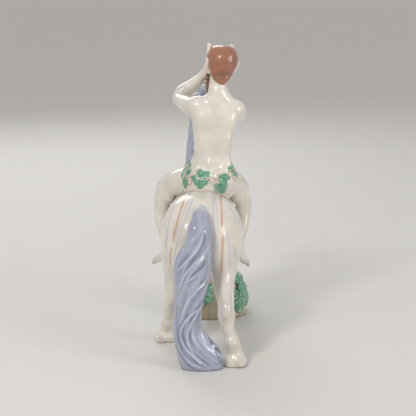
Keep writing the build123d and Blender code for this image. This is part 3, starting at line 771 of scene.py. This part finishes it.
def lay_leaves(name, targets, places, lobed, thick, material, nodes):
    """Leaves pressed onto the surfaces of some objects: (point, outward, growing, length, width, lift)."""
    trees = [BVHTree.FromPolygons([v.co for v in t.data.vertices], [p.vertices for p in t.data.polygons])
             for t in targets]
    shape = vine_leaf(lobed)
    points, faces, veins = [], [], []
    for point, outward, growing, length, width, lift in places:
        outward = Vector(outward).normalized()
        growing = Vector(growing)
        growing = (growing - outward * growing.dot(outward)).normalized()
        across = growing.cross(outward)
        first = len(points)
        flat = [Vector(point) * MM + (across * row[0] * width + growing * row[1] * length) * MM
                for row in shape]
        levels = settle(trees, flat, outward)
        top = [spot + outward * (level + (lift + row[2] * length) * MM)
               for spot, level, row in zip(flat, levels, shape)]
        veins += [row[3] for row in shape]
        points += top + [p - outward * thick * MM for p in top]
        veins += veins[-len(top):]
        count = len(top)
        for ring in range(RINGS):
            for k in range(SPOKES):
                a, b = ring * SPOKES + k, ring * SPOKES + (k + 1) % SPOKES
                quad = (first + a, first + a + SPOKES, first + b + SPOKES, first + b)
                faces.append(quad)
                faces.append(tuple(q + count for q in reversed(quad)))
        rim = first + RINGS * SPOKES
        for k in range(SPOKES):
            a, b = rim + k, rim + (k + 1) % SPOKES
            faces.append((a, a + count, b + count, b))
    obj = piece(name, [tuple(p) for p in points], faces, material, nodes)
    tidy = bmesh.new()
    tidy.from_mesh(obj.data)
    layer = tidy.verts.layers.float.new("vein")
    for vertex, vein in zip(tidy.verts, veins):
        vertex[layer] = vein
    bmesh.ops.remove_doubles(tidy, verts=tidy.verts, dist=1e-6)
    bmesh.ops.recalc_face_normals(tidy, faces=tidy.faces)
    tidy.to_mesh(obj.data)
    tidy.free()
    return obj


def leaf_glaze(name, colour, deep, streak):
    glaze = Glaze(name, colour, deep, (0.42, 0.66, 0.54), shade_reach=0.5, highlight_reach=0.8, mottle=0.25)
    vein = glaze.node("ShaderNodeAttribute", attribute_name="vein").outputs["Fac"]
    glaze.paint(glaze.range(vein, 0.3, 0.8, 0, 0.38), deep)
    glaze.paint(glaze.range(glaze.noise(150, 3), 0.56, 0.68, 0, 0.7), streak)
    return glaze.done()


# leaves on the stump: turn round it, height of the middle, length, width, lean, lift
STUMP_LEAVES = [
    (140, 29, 44, 40, 0.10, 3.6), (160, 52, 24, 28, -0.3, 3.2), (74, 38, 42, 34, -0.2, 2.4),
    (118, 66, 30, 28, 0.3, 2.0), (60, 68, 34, 32, 0.2, 2.2), (45, 34, 44, 42, 0.3, 2.6),
    (8, 40, 46, 44, -0.2, 2.2), (22, 74, 34, 32, -0.3, 3.0), (-20, 66, 34, 32, 0.3, 2.4),
    (-34, 32, 46, 44, 0.1, 2.4), (-62, 62, 36, 34, -0.3, 2.6), (-80, 30, 46, 44, 0.2, 2.2),
    (-112, 60, 36, 34, 0.3, 3.0), (-124, 28, 46, 42, -0.2, 2.4), (-165, 28, 44, 42, 0.2, 2.0),
    (-146, 46, 28, 28, 0.1, 2.4), (174, 30, 42, 40, 0.3, 1.6),
]
STUMP_HALF = [(0, 49), (18, 48), (45, 42), (78, 31), (112, 25)]     # height and half width
STUMP_LEAN = 0.3


def sculpt_stump_leaves(stump):
    x, y = STUMP
    places = []
    for turn, height, length, width, lean, lift in STUMP_LEAVES:
        c, s = math.cos(math.radians(turn)), math.sin(math.radians(turn))
        across = np.interp(height, *zip(*STUMP_HALF))
        at = np.array((x + across * c, y + 0.87 * across * s, height))
        growing = unit((STUMP_LEAN * c - lean * s, STUMP_LEAN * s + lean * c, -1))
        places.append((tuple(at - LEAF_BASE * length * growing), (c, s, STUMP_LEAN), tuple(growing), length,
                       width, lift))
    glaze = leaf_glaze("stump_leaf_glaze", GREEN, DEEP_GREEN, (0.86, 0.87, 0.78))
    return lay_leaves("stump_foliage", [stump], places, 0.45, 1.6, glaze, ["stump_leaves"])


# ================================================================ the rider
TORSO = [
    (-11, 33, 214, 33, 26), (-11, 33, 224, 33, 25.5), (-12, 33, 237, 28.5, 21), (-13, 33, 251, 23.4, 16.4),
    (-14.4, 32, 270, 24.2, 16.2), (-16.2, 31, 287, 27.2, 17.4), (-17.6, 31, 300, 29.8, 17),
    (-19.5, 31, 310, 28.4, 14.5), (-22, 31, 318, 20, 11.5),
]
LEFT_LEG = [
    (0, 27, 221, 20, 20), (26, 3, 212.5, 17.5, 19), (42, -18, 204.5, 14.4, 15.6),
    (51, -31, 198.5, 11.5, 12), (54, -36, 189, 10.3, 11), (56, -32, 172, 10.4, 11.2),
    (55, -22, 153, 9.2, 9.8), (52, -13, 136, 6.8, 7.4), (49.5, -7, 122, 5.6, 6.4),
    (50.5, -4, 112, 5.8, 7.4),
]
RIGHT_LEG = [
    (-20, 27, 220, 20, 20), (-37, 3, 211.5, 17.5, 19), (-47, -18, 204.5, 14.4, 15.6),
    (-54, -31, 198.5, 11.5, 12), (-57, -36, 189, 10.3, 11), (-59, -32, 172, 10.4, 11.2),
    (-58, -22, 153, 9.2, 9.8), (-55, -13, 136, 6.8, 7.4), (-52.5, -7, 122, 5.6, 6.4),
    (-53.5, -4, 112, 5.8, 7.4),
]
LEFT_ARM = [
    (2, 31, 316, 11.2), (13, 22, 317.5, 11.5), (22, 7, 320.3, 10.2), (29, -8, 323, 8.6),
    (29, -16, 327, 9.0), (21, -19, 334, 9.4), (12, -18, 340.5, 8.9), (3, -16, 348, 7.4),
    (-4.5, -13, 358.5, 5.4),
]
RIGHT_ARM = [
    (-42, 31, 313, 11), (-49, 20, 310, 10), (-51, 4, 305, 8.6), (-51, -10, 301, 8.0), (-49, -19, 304, 8.0),
    (-42.5, -23, 313, 7.4), (-34.5, -23, 326, 5.8), (-29.5, -21.5, 338, 4.6),
]


def sculpt_rider():
    clay = Clay((-80, -52, 84), (78, 68, 376), 1.0)
    clay.limb(TORSO, blend=3)
    back_and_chest(clay)
    clay.limb(LEFT_LEG, blend=9)
    clay.limb(RIGHT_LEG, blend=9)
    for sign, shift in ((1, 0), (-1, -3)):
        leg_details(clay, sign, shift)
    clay.limb([(-21.5, 31, 314, 13), (-21, 30.5, 326, 12.2), (-21.4, 29, 340, 11.8), (-23, 27, 354, 11.4)],
              blend=8)
    clay.limb([(-24, 32, 333, 8.5), (-10, 31, 323.5, 8.5), (4, 29, 321, 9.5)], blend=8)
    clay.limb([(-22, 32, 337, 8), (-32, 31, 328.5, 8), (-41, 30, 319.5, 8)], blend=7)
    clay.limb(LEFT_ARM, blend=7, side=(0, 0, 1))
    clay.limb(RIGHT_ARM, blend=7)
    arm_details(clay)
    return clay.mesh("rider", skin_glaze("rider_glaze"), "white_porcelain", [
        "rider_torso", "rider_left_arm", "rider_right_arm", "rider_left_hand", "rider_right_hand",
        "rider_left_leg", "rider_right_leg", "rider_left_foot", "rider_right_foot"])


def back_and_chest(clay):
    clay.ball((2, 40, 219), (22, 23, 23), blend=7)
    clay.ball((-25, 40, 219), (22, 23, 23), blend=7)
    clay.limb([(-11.5, 64, 222, 1.6), (-11.5, 59.5, 232, 1.2), (-11.5, 57, 238, 0.8)], blend=7, carve=True)
    spine = [(-12, 56.5, 240, 1.2), (-13, 52.5, 252, 1.4), (-15, 51, 270, 1.4), (-17.5, 51.5, 288, 1.3),
             (-19.5, 50.5, 303, 1.1), (-21.5, 47, 316, 1.0)]
    clay.limb(spine, blend=9, carve=True)
    for sign, x in ((1, -4), (-1, -33)):
        clay.ball((x, 41.5, 297), (9.5, 5.6, 13), blend=11, turn=(0, sign * 14, 0))
        clay.ball((x + sign * 1.5, 18, 298), (12, 6, 9), blend=7)
        clay.limb([(x + sign * 1, 43.2, 276, 4.4), (x, 43.2, 258, 4.4), (x + sign * 1, 45.5, 244, 4)],
                  blend=11)
        clay.ball((-12 + sign * 8.5, 54.5, 243), (2.4, 1.8, 2.4), blend=6, carve=True)
    clay.ball((-12, 11.5, 243), (1.6, 2, 2), blend=2, carve=True)
    clay.limb([(-17, 13, 292, 1), (-14, 14, 262, 1), (-12, 12, 247, 1)], blend=6, carve=True)


def leg_details(clay, sign, shift):
    def at(x, y, z):
        return (sign * x + shift * (sign < 0), y, z)

    def on_foot(x, y, z):
        """The right foot hangs steeper and less turned out than the left one."""
        steep = 0.12 * (x - 50)
        return at(x, y, z - steep) if sign > 0 else at(50 + 0.72 * (x - 50), y, z - 2.6 * steep)
    clay.ball(at(51.5, -38, 199), (8, 7, 8), blend=5)
    clay.ball(at(57, -25, 171), (6, 7.5, 16), blend=7, turn=(-18, 0, 0))
    clay.ball(at(50, -22, 174), (5.5, 7.5, 14), blend=7, turn=(-18, 0, 0))
    clay.ball(at(45.5, -15, 190), (9, 10, 11.5), blend=7)
    clay.ball(at(55, -4.5, 112), (2.2, 2.4, 2.4), blend=2.5)
    clay.ball(at(45.5, -5, 113), (2.2, 2.4, 2.4), blend=2.5)
    rows = [(49, 5, 110, 4.6, 5), (50.5, 0, 108.5, 5.4, 6.6), (54, -8, 105.5, 6.0, 6.2),
            (58.5, -17, 101, 6.6, 4.8),
            (62.5, -24, 97.5, 6.6, 3.4)]
    clay.limb([(*on_foot(*row[:3]), *row[3:]) for row in rows], blend=4)
    for toe in range(5):
        out = toe - 1.6
        size = 2.3 if toe == 0 else 1.75 - 0.1 * toe
        start = on_foot(61.5 + 2.3 * out, -23 + 1.1 * out, 97.2)
        end = on_foot(63 + 2.1 * out, -29.5 + 1.5 * out + 0.4 * toe, 93.4)
        clay.limb([(*start, size), (*end, 1.05 * size)], blend=0.8)


def arm_details(clay):
    clay.ball((5, 29, 318), (12, 12, 12), blend=6)
    clay.ball((-46.5, 28, 314.5), (11.6, 11.6, 11.6), blend=4)
    clay.ball((31.5, -13, 321), (6, 6, 6), blend=5)
    clay.ball((-51.5, -14, 299), (5, 5, 5), blend=5)
    clay.ball((24, -17, 334), (8.6, 7.5, 7), blend=6)
    clay.ball((-8.3, -8.5, 361.5), (5.4, 5.6, 9.6), blend=4, turn=(0, 14, 0))
    clay.ball((-31, -17.5, 345), (5.0, 5.4, 6.2), blend=4, turn=(0, -15, 0))
    for k in range(4):
        z = 368 - 3.6 * k
        clay.limb([(-7.5, -11.5, z, 1.9), (-10.5, -14.8, z - 0.6, 1.8), (-14.5, -13.6, z - 1.4, 1.6),
                   (-17, -11.2, z - 1.8, 1.4)], blend=0.9)
        z = 350 - 3.6 * k
        clay.limb([(-31.5, -19.5, z, 1.9), (-28, -22.5, z, 1.8), (-23.5, -20.6, z - 0.4, 1.6),
                   (-20.5, -18, z - 0.8, 1.4)], blend=0.9)
    clay.limb([(-9, -5, 360, 2.1), (-12, -2.5, 357, 1.9), (-14.5, -2.6, 354.5, 1.6)], blend=1.2)
    clay.limb([(-31, -12.5, 344, 2.1), (-28, -9.8, 342, 1.9), (-25, -9.0, 341, 1.6)], blend=1.2)


def skin_glaze(name):
    return Glaze(name, WHITE, SHADE, (0.93, 0.91, 0.88), shade_reach=1.9, highlight_reach=1.6).done()


# ================================================================ the rider's head
FORWARD = np.array((math.sin(HEAD_TURN), -math.cos(HEAD_TURN), 0))
LEFTWARD = np.array((math.cos(HEAD_TURN), math.sin(HEAD_TURN), 0))


def on_head(left, front, up):
    return HEAD + left * LEFTWARD + front * FORWARD + up * np.array((0, 0, 1))


def head_ball(clay, local, radii, blend, tilt=0.0, **keys):
    """An ellipsoid whose radii are left, front and up of the turned head."""
    clay.ball(on_head(*local), radii, blend, turn=(tilt, 0, math.degrees(HEAD_TURN)), **keys)


def sculpt_head():
    clay = Clay((-60, -12, 336), (2, 50, 404), 0.5)
    head_ball(clay, (0, -1.5, 3), (16.2, 19, 18.8), 1)
    for sign in (1, -1):
        head_ball(clay, (sign * 4.8, 9, 6.5), (13, 11, 12.5), 5)
    head_ball(clay, (0, 7, -10), (11.4, 11.5, 13.5), 7)
    head_ball(clay, (0, 13.6, -20.2), (5.0, 4.6, 4.0), 5)
    clay.limb([(*on_head(0, -6, -14), 10.5), (-23.2, 26.5, 352, 10.4), (-22.2, 28, 346, 10)], blend=3)
    for sign in (1, -1):
        head_ball(clay, (sign * 6.8, 11.5, -8), (5.4, 5.6, 5.4), 5)
        head_ball(clay, (sign * 6.4, 18.6, -1.2), (4.2, 2.6, 2.8), 3, carve=True)
        head_ball(clay, (sign * 6.3, 14.4, -1.6), (3.5, 3.2, 2.9), 0.8)
        lid = [(*on_head(sign * x, f, u), r) for x, f, u, r in
               ((3.2, 16.6, -1.8, 0.5), (4.8, 17.9, 0.0, 0.65), (6.6, 17.9, 0.6, 0.7),
                (8.6, 16.6, -0.2, 0.6),
                (9.8, 15.0, -1.6, 0.5))]
        clay.limb(lid, blend=0.8)
        lower = [(*on_head(sign * x, f, u), r) for x, f, u, r in
                 ((3.4, 16.4, -2.4, 0.4), (6.2, 17.2, -4.0, 0.5), (9.4, 15.2, -2.6, 0.4))]
        clay.limb(lower, blend=0.9)
        brow = [(*on_head(sign * x, f, u), r) for x, f, u, r in
                ((2.6, 17.6, 3.0, 1.0), (6.2, 17.4, 4.6, 1.1), (10.4, 14.6, 3.6, 0.8))]
        clay.limb(brow, blend=3)
        head_ball(clay, (sign * 2.0, 19.2, -9.0), (1.6, 1.9, 1.5), 1.2)
        head_ball(clay, (sign * 1.2, 20.3, -10.2), (0.7, 0.9, 0.6), 0.5, carve=True)
        faun_ear(clay, sign)
    clay.limb([(*on_head(0, 17.0, 3), 1.6), (*on_head(0, 19.2, -2), 1.6), (*on_head(0, 21.6, -7.2), 2.0),
               (*on_head(0, 21.4, -8.8), 1.9)], blend=2.2)
    head_ball(clay, (0, 17.6, -14.2), (4.0, 2.2, 1.25), 1.4)
    head_ball(clay, (0, 17.2, -17.0), (3.4, 2.2, 1.35), 1.4)
    clay.limb([(*on_head(-4.0, 17.6, -15.5), 0.35), (*on_head(0, 19.6, -15.6), 0.4),
               (*on_head(4.0, 17.6, -15.5), 0.35)], blend=0.7, carve=True)
    return clay.mesh("rider_face", face_glaze(), "white_porcelain",
                     ["rider_head", "rider_left_ear", "rider_right_ear"])


def faun_ear(clay, sign):
    """A pointed ear with a hollow, standing out and a little up, the right one lower than the left one."""
    drop = 0 if sign > 0 else 5
    rows = [(14.5, -1, -8, 1.6, 2), (16.6, -1.4, -5, 2.4, 3.6), (18.8, -2.2, -1, 2.5, 4.2),
            (21.4, -3.4, 3.4, 1.9, 3.2), (23.6, -4.6, 7.8, 0.9, 1.2)]
    clay.limb([(*on_head(sign * l, f, u - drop), a, b) for l, f, u, a, b in rows], blend=2, side=(0, 1, 0))
    hollow = [(17.4, 1.6, -4.6, 1.5), (20.2, 0.2, -0.6, 1.6), (22.2, -2.0, 3.6, 0.8)]
    clay.limb([(*on_head(sign * l, f, u - drop), r) for l, f, u, r in hollow], blend=1.2, carve=True)


def face_glaze():
    glaze = Glaze("face_glaze", WHITE, SHADE, (0.93, 0.91, 0.88), shade_reach=1.2, highlight_reach=1.0)
    turn = (0, 0, math.degrees(HEAD_TURN))
    for sign in (1, -1):
        glaze.spot(on_head(sign * 7.6, 14.5, -9), (4.4, 5, 3.4), ROSE, 0.8, 0.35, turn)
        glaze.spot(on_head(sign * 6.3, 17.8, -1.9), (1.5, 1.5, 1.7), (0.36, 0.27, 0.20), 0.15, 0.95, turn)
        glaze.spot(on_head(sign * 6.3, 18.0, -1.9), (0.7, 1.5, 0.8), BLACK, 0.2, 1.0, turn)
        glaze.spot(on_head(sign * 6.4, 18.0, 0.35), (3.4, 2.2, 0.5), (0.30, 0.20, 0.15), 0.4, 0.8, turn)
        glaze.spot(on_head(sign * 6.6, 18.0, 5.0), (3.6, 3.0, 0.55), BROWN, 0.5, 0.75, turn)
        glaze.spot(on_head(sign * 19.0, 2.0, 0), (2.6, 2.2, 6), ROSE, 0.6, 0.4, turn)
    glaze.spot(on_head(0, 19, -14.3), (3.9, 3, 1.0), (0.80, 0.45, 0.42), 0.3, 0.8, turn)
    glaze.spot(on_head(0, 19, -16.9), (3.2, 3, 1.1), (0.80, 0.45, 0.42), 0.3, 0.8, turn)
    return glaze.done()


def sculpt_hair():
    clay = Clay((-56, -14, 338), (0, 56, 406), 0.5)
    head_ball(clay, (0, -2.2, 2.6), (20.0, 21.4, 20.6), 1)
    clay.ball((-18.5, 18.5, 384.5), (9.8, 13, 11), 5)
    clay.ball((-37, 21, 384), (9.6, 13, 11), 5)
    clay.limb([(-27.4, 27, 374, 17.4, 12), (-26.6, 31, 364, 15, 10), (-25.6, 34.4, 356, 10.8, 7),
               (-24.4, 36, 351.8, 7.2, 4.6)], blend=3)
    head_ball(clay, (0, 20, -11), (17.5, 17, 20.5), 3, carve=True)
    clay.limb([(-38, 42, 361, 0.9), (-26, 43.5, 360.5, 1.0), (-15, 42, 361, 0.9)], blend=9, carve=True)
    for sign in (1, -1):
        head_ball(clay, (sign * 19, 7, -10), (6, 8.5, 9), 3, carve=True)
        for k in range(3):
            across, high = 2.4 + 3.6 * k, 16.4 - 0.4 * k * k
            clay.limb([(*on_head(sign * (across - 2), 13 - 2.2 * k, high + 3), 2.6),
                       (*on_head(sign * across, 17.4 - 2.3 * k, high), 2.4),
                       (*on_head(sign * (across + 2.2), 17.2 - 2.5 * k, high - 3.0), 1.2)],
                      blend=1.0, ribs=6, depth=0.3)

    def combed(x, y, z):
        left = (x - HEAD[0]) * LEFTWARD[0] + (y - HEAD[1]) * LEFTWARD[1]
        back = (x - HEAD[0]) * FORWARD[0] + (y - HEAD[1]) * FORWARD[1] + 6
        around = np.arctan2(left, -back)
        lines = np.abs(np.cos(15 * around + 0.9 * np.sin(0.2 * (z - HEAD[2])))) - 0.6
        return 0.09 * lines * np.clip(np.hypot(left, back) / 9, 0, 1)
    clay.ripple(combed)
    glaze = Glaze("rider_hair_glaze", BROWN, DEEP_BROWN, (0.68, 0.46, 0.36), shade_reach=1.4, highlight_reach=0.9, mottle=0.10)
    # painted shade in the groove across the back of the head
    glaze.spot((-26.5, 42, 361), (14, 9, 4.5), DEEP_BROWN, 0.95, 0.45)
    return clay.mesh("rider_locks", glaze.done(), "brown_glaze", ["rider_hair"])


def sculpt_horns():
    clay = Clay((-56, -14, 376), (6, 40, 404), 0.4)
    for sign, drop in ((1, 0), (-1, 2.5)):
        rows = [(15.2, 4, 13, 3.3), (16, 3.4, 18, 2.9), (16.2, 3, 22.4 - drop, 2.6)]
        clay.limb([(*on_head(sign * l, f, u), r) for l, f, u, r in rows], blend=0.8, side=(0, 1, 0))
        clay.ball(on_head(sign * 16.4, 3, 23.4 - drop), 2.9, 0.4)
        clay.ball(on_head(sign * 13.8, 3.6, 22.2 - drop), 2.1, 0.4)
    glaze = Glaze("horn_glaze", (0.92, 0.90, 0.86), SHADE, WHITE, shade_reach=1.0, highlight_reach=0.8)
    return clay.mesh("horns", glaze.done(), "white_porcelain", ["rider_left_horn", "rider_right_horn"])


# ================================================================ pipes and garland
def sculpt_pipes():
    clay = Clay((-38, -26, 318), (6, 10, 366), 0.5)
    top = np.array((-18.0, -5.5, 358.5))
    for k in range(6):
        at = top + LEFTWARD * (4.2 * (k - 2.5))
        length = 19 + 3 * k
        clay.limb([(*at, 2.15), (*(at - (0, 0, length)), 2.05)], blend=0.3)
    clay.field = np.maximum(clay.field, clay.axes[2][None, None, :] - top[2])
    for k in range(6):
        at = top + LEFTWARD * (4.2 * (k - 2.5))
        clay.limb([(*(at + (0, 0, 4)), 1.3), (*(at - (0, 0, 6)), 1.3)], blend=0.3, carve=True)
    for drop in (7.5, 12.5):
        for face in (1, -1):
            ends = [top + LEFTWARD * (13 * side) + FORWARD * (2.1 * face) - (0, 0, drop) for side in (-1, 1)]
            clay.limb([(*p, 1.0) for p in ends], blend=0.6)
    glaze = Glaze("pipe_glaze", STRAW, (0.36, 0.25, 0.18), (0.80, 0.68, 0.48), shade_reach=0.4, highlight_reach=0.5,
                  mottle=0.2)
    return clay.mesh("pipes", glaze.done(), "gold_glaze", ["pan_pipes"])


def on_garland(turn, lift=0.0):
    """A point of the garland's line round the hips; turn 90 is the middle of the back."""
    c, s = math.cos(math.radians(turn)), math.sin(math.radians(turn))
    return (PELVIS[0] + (32 + lift) * c, PELVIS[1] + (26 + lift) * s, PELVIS[2] + 17 - 12 * s)


def surface_point(obj, point, outward, lift):
    """The point of an object's surface under a point, lifted by so many millimetres."""
    tree = BVHTree.FromPolygons([v.co for v in obj.data.vertices], [p.vertices for p in obj.data.polygons])
    start = (Vector(point) + Vector(outward).normalized() * 20) * MM
    hit = tree.ray_cast(start, -Vector(outward).normalized(), 0.05)
    found = hit[0] if hit[0] is not None else Vector(point) * MM
    return np.array(found / MM) + lift * unit(outward)


# garland leaves: turn, height of the middle, length, width, growing direction (sideways, up), lift
GARLAND = [
    (-14, 240, 13, 12, (0.3, 1), 0.8), (6, 232, 13, 13, (0.4, -1), 1.0), (20, 240, 9, 9, (0.2, 1), 0.8),
    (36, 234, 9, 9, (-0.3, 0.6), 0.8), (35, 221, 14, 11, (0.1, -1), 1.0), (58, 228, 8, 8, (-0.9, 0.3), 0.8),
    (68, 233.5, 10, 10, (-0.2, 1), 0.9), (82, 233, 8, 8, (0.6, 0.7), 0.8),
    (71, 225, 17, 16, (0.0, -1), 1.2), (121, 226.5, 13, 13, (-0.6, 0.5), 1.3),
    (112, 217, 16, 15, (0.5, -1), 1.2), (143, 238, 8, 8, (0.4, 1), 0.8),
    (154, 230, 10, 10, (0.5, -0.5), 1.0), (166, 240, 9, 9, (0.2, 1), 0.8),
    (180, 232, 12, 12, (0.2, -1), 1.0), (196, 241, 13, 12, (-0.3, 1), 0.8),
]
BERRY_PLACES = [
    (0, 238), (28, 229), (50, 221), (58, 234), (94, 226), (100, 222), (134, 231), (147, 226), (164, 234),
    (187, 238),
]
BERRY_ROWS = ((-1.5, 0), (1.5, 0), (0, 2.2), (0, -2.2))


def beside(turn, height):
    """The place on the hips at a turn and height, with the directions outward and sideways there."""
    out = np.array((math.cos(math.radians(turn)), math.sin(math.radians(turn)), 0.15))
    x, y, _ = on_garland(turn)
    return np.array((x, y, height)), out, np.array((-out[1], out[0], 0))


def sculpt_garland(rider, horse):
    turns = list(range(-25, 206, 10))
    clay = Clay((-60, -4, 200), (38, 76, 262), 0.7)
    hips = []
    for k, turn in enumerate(turns):
        at, out, side = beside(turn, on_garland(turn)[2] + 2 * math.sin(1.7 * k))
        hips.append((*surface_point(rider, at, out, 0.5), 1.1))
    clay.limb(hips, blend=0.8)
    for k in range(1, len(turns) - 1, 2):
        tendril(clay, hips[k][:3], turns[k], 1 if k % 4 == 1 else -1)
    vine = Glaze("vine_glaze", (0.88, 0.84, 0.78), (0.70, 0.63, 0.54), (0.94, 0.92, 0.88), shade_reach=1.2,
                 highlight_reach=0.8,
                 mottle=0.08)
    vine.paint(vine.range(vine.noise(45, 2), 0.54, 0.66, 0, 0.6), (0.52, 0.64, 0.48))
    clay.mesh("vine", vine.done(), "green_glaze", ["garland_vine"])

    places = []
    for turn, height, length, width, (sideways, up), lift in GARLAND:
        at, out, side = beside(turn, height)
        growing = unit(side * sideways + np.array((0, 0, up)))
        length, width = GARLAND_SCALE * length, GARLAND_SCALE * width
        places.append((tuple(at - LEAF_BASE * length * growing), tuple(out), tuple(growing), length, width,
                       lift))
    glaze = leaf_glaze("garland_leaf_glaze", (0.38, 0.64, 0.52), (0.16, 0.42, 0.32), (0.80, 0.86, 0.78))
    lay_leaves("garland_foliage", [rider, horse], places, 0.25, 1.2, glaze,
               ["garland_leaves"])

    clay = Clay((-62, -4, 196), (40, 76, 262), 0.6)
    for turn, height in BERRY_PLACES:
        at, out, side = beside(turn, height)
        for across, up in BERRY_ROWS:
            berry = surface_point(rider, at + side * across + np.array((0, 0, up)), out, 0.7)
            clay.ball(berry, 1.7, 0.3)
    berry = Glaze("berry_glaze", (0.90, 0.86, 0.80), (0.72, 0.60, 0.50), (0.94, 0.91, 0.87), shade_reach=1.0,
                  highlight_reach=0.9)
    clay.mesh("berries", berry.done(), "gold_glaze", ["garland_berries"])


def tendril(clay, start, turn, sign):
    """A curl springing from the vine and lying on the hips."""
    out = np.array((math.cos(math.radians(turn)), math.sin(math.radians(turn)), 0.1))
    side = np.array((-out[1], out[0], 0)) * sign
    rows = []
    for k in range(9):
        wind = 0.75 * k
        size = 4.2 - 0.42 * k
        at = np.array(start) + side * (size * math.sin(wind) + 0.9 * k)
        at = at - np.array((0, 0, 5 - size * math.cos(wind)))
        rows.append((*(at + 1.0 * out), 0.85 - 0.04 * k))
    clay.limb(rows, blend=0.4)


# ================================================================ stage, light and camera
def plain(name, colour, rough):
    material = bpy.data.materials.new(name)
    material.use_nodes = True
    shader = material.node_tree.nodes["Principled BSDF"]
    shader.inputs["Base Color"].default_value = linear(colour)
    shader.inputs["Roughness"].default_value = rough
    return material


def floor():
    bpy.ops.mesh.primitive_plane_add(size=60)
    plane = bpy.context.object
    plane.name = "floor"
    plane.data.materials.append(plain("floor_paper", (0.85, 0.845, 0.835), 0.7))


def lamp(name, place, size, power, colour=(1, 1, 1)):
    data = bpy.data.lights.new(name, "AREA")
    data.shape = "RECTANGLE"
    data.size, data.size_y = size
    data.energy = power
    data.color = colour
    obj = bpy.data.objects.new(name, data)
    bpy.context.scene.collection.objects.link(obj)
    obj.location = place
    obj.rotation_euler = (Vector((0, 0, 0.2)) - Vector(place)).to_track_quat("-Z", "Y").to_euler()


def light():
    world = bpy.data.worlds.new("room")
    world.use_nodes = True
    world.node_tree.nodes["Background"].inputs["Color"].default_value = linear((0.86, 0.85, 0.84))
    world.node_tree.nodes["Background"].inputs["Strength"].default_value = 0.80
    bpy.context.scene.world = world
    bpy.context.scene.view_settings.view_transform = "Standard"
    lamp("key", (0.8, 1.3, 1.5), (0.35, 0.35), 13, (1.0, 0.98, 0.95))
    lamp("fill", (-1.4, 0.9, 0.8), (0.5, 0.8), 7)
    lamp("front", (0.5, -1.6, 1.3), (1.2, 1.2), 10)


def camera():
    """Behind the group and a little above it, looking along -Y."""
    data = bpy.data.cameras.new("camera")
    data.sensor_width = 36
    data.lens = 97.4
    obj = bpy.data.objects.new("camera", data)
    obj.location = (-0.009, 1.5, 0.5)
    obj.rotation_euler = (math.radians(90 - 12.2), 0, math.pi)
    bpy.context.scene.collection.objects.link(obj)
    bpy.context.scene.camera = obj


horse = sculpt_horse()
sculpt_mane()
sculpt_forelock()
tail = sculpt_tail()
stump = sculpt_stump()
sculpt_stump_leaves(stump)
rider = sculpt_rider()
face = sculpt_head()
locks = sculpt_hair()
sculpt_horns()
sculpt_pipes()
sculpt_garland(rider, horse)
# painted shade in the seams where the pieces meet
shade_seams(horse, [rider, tail, stump])
shade_seams(rider, [horse, face, locks])
shade_seams(tail, [horse])
shade_seams(face, [locks])
floor()
light()
camera()
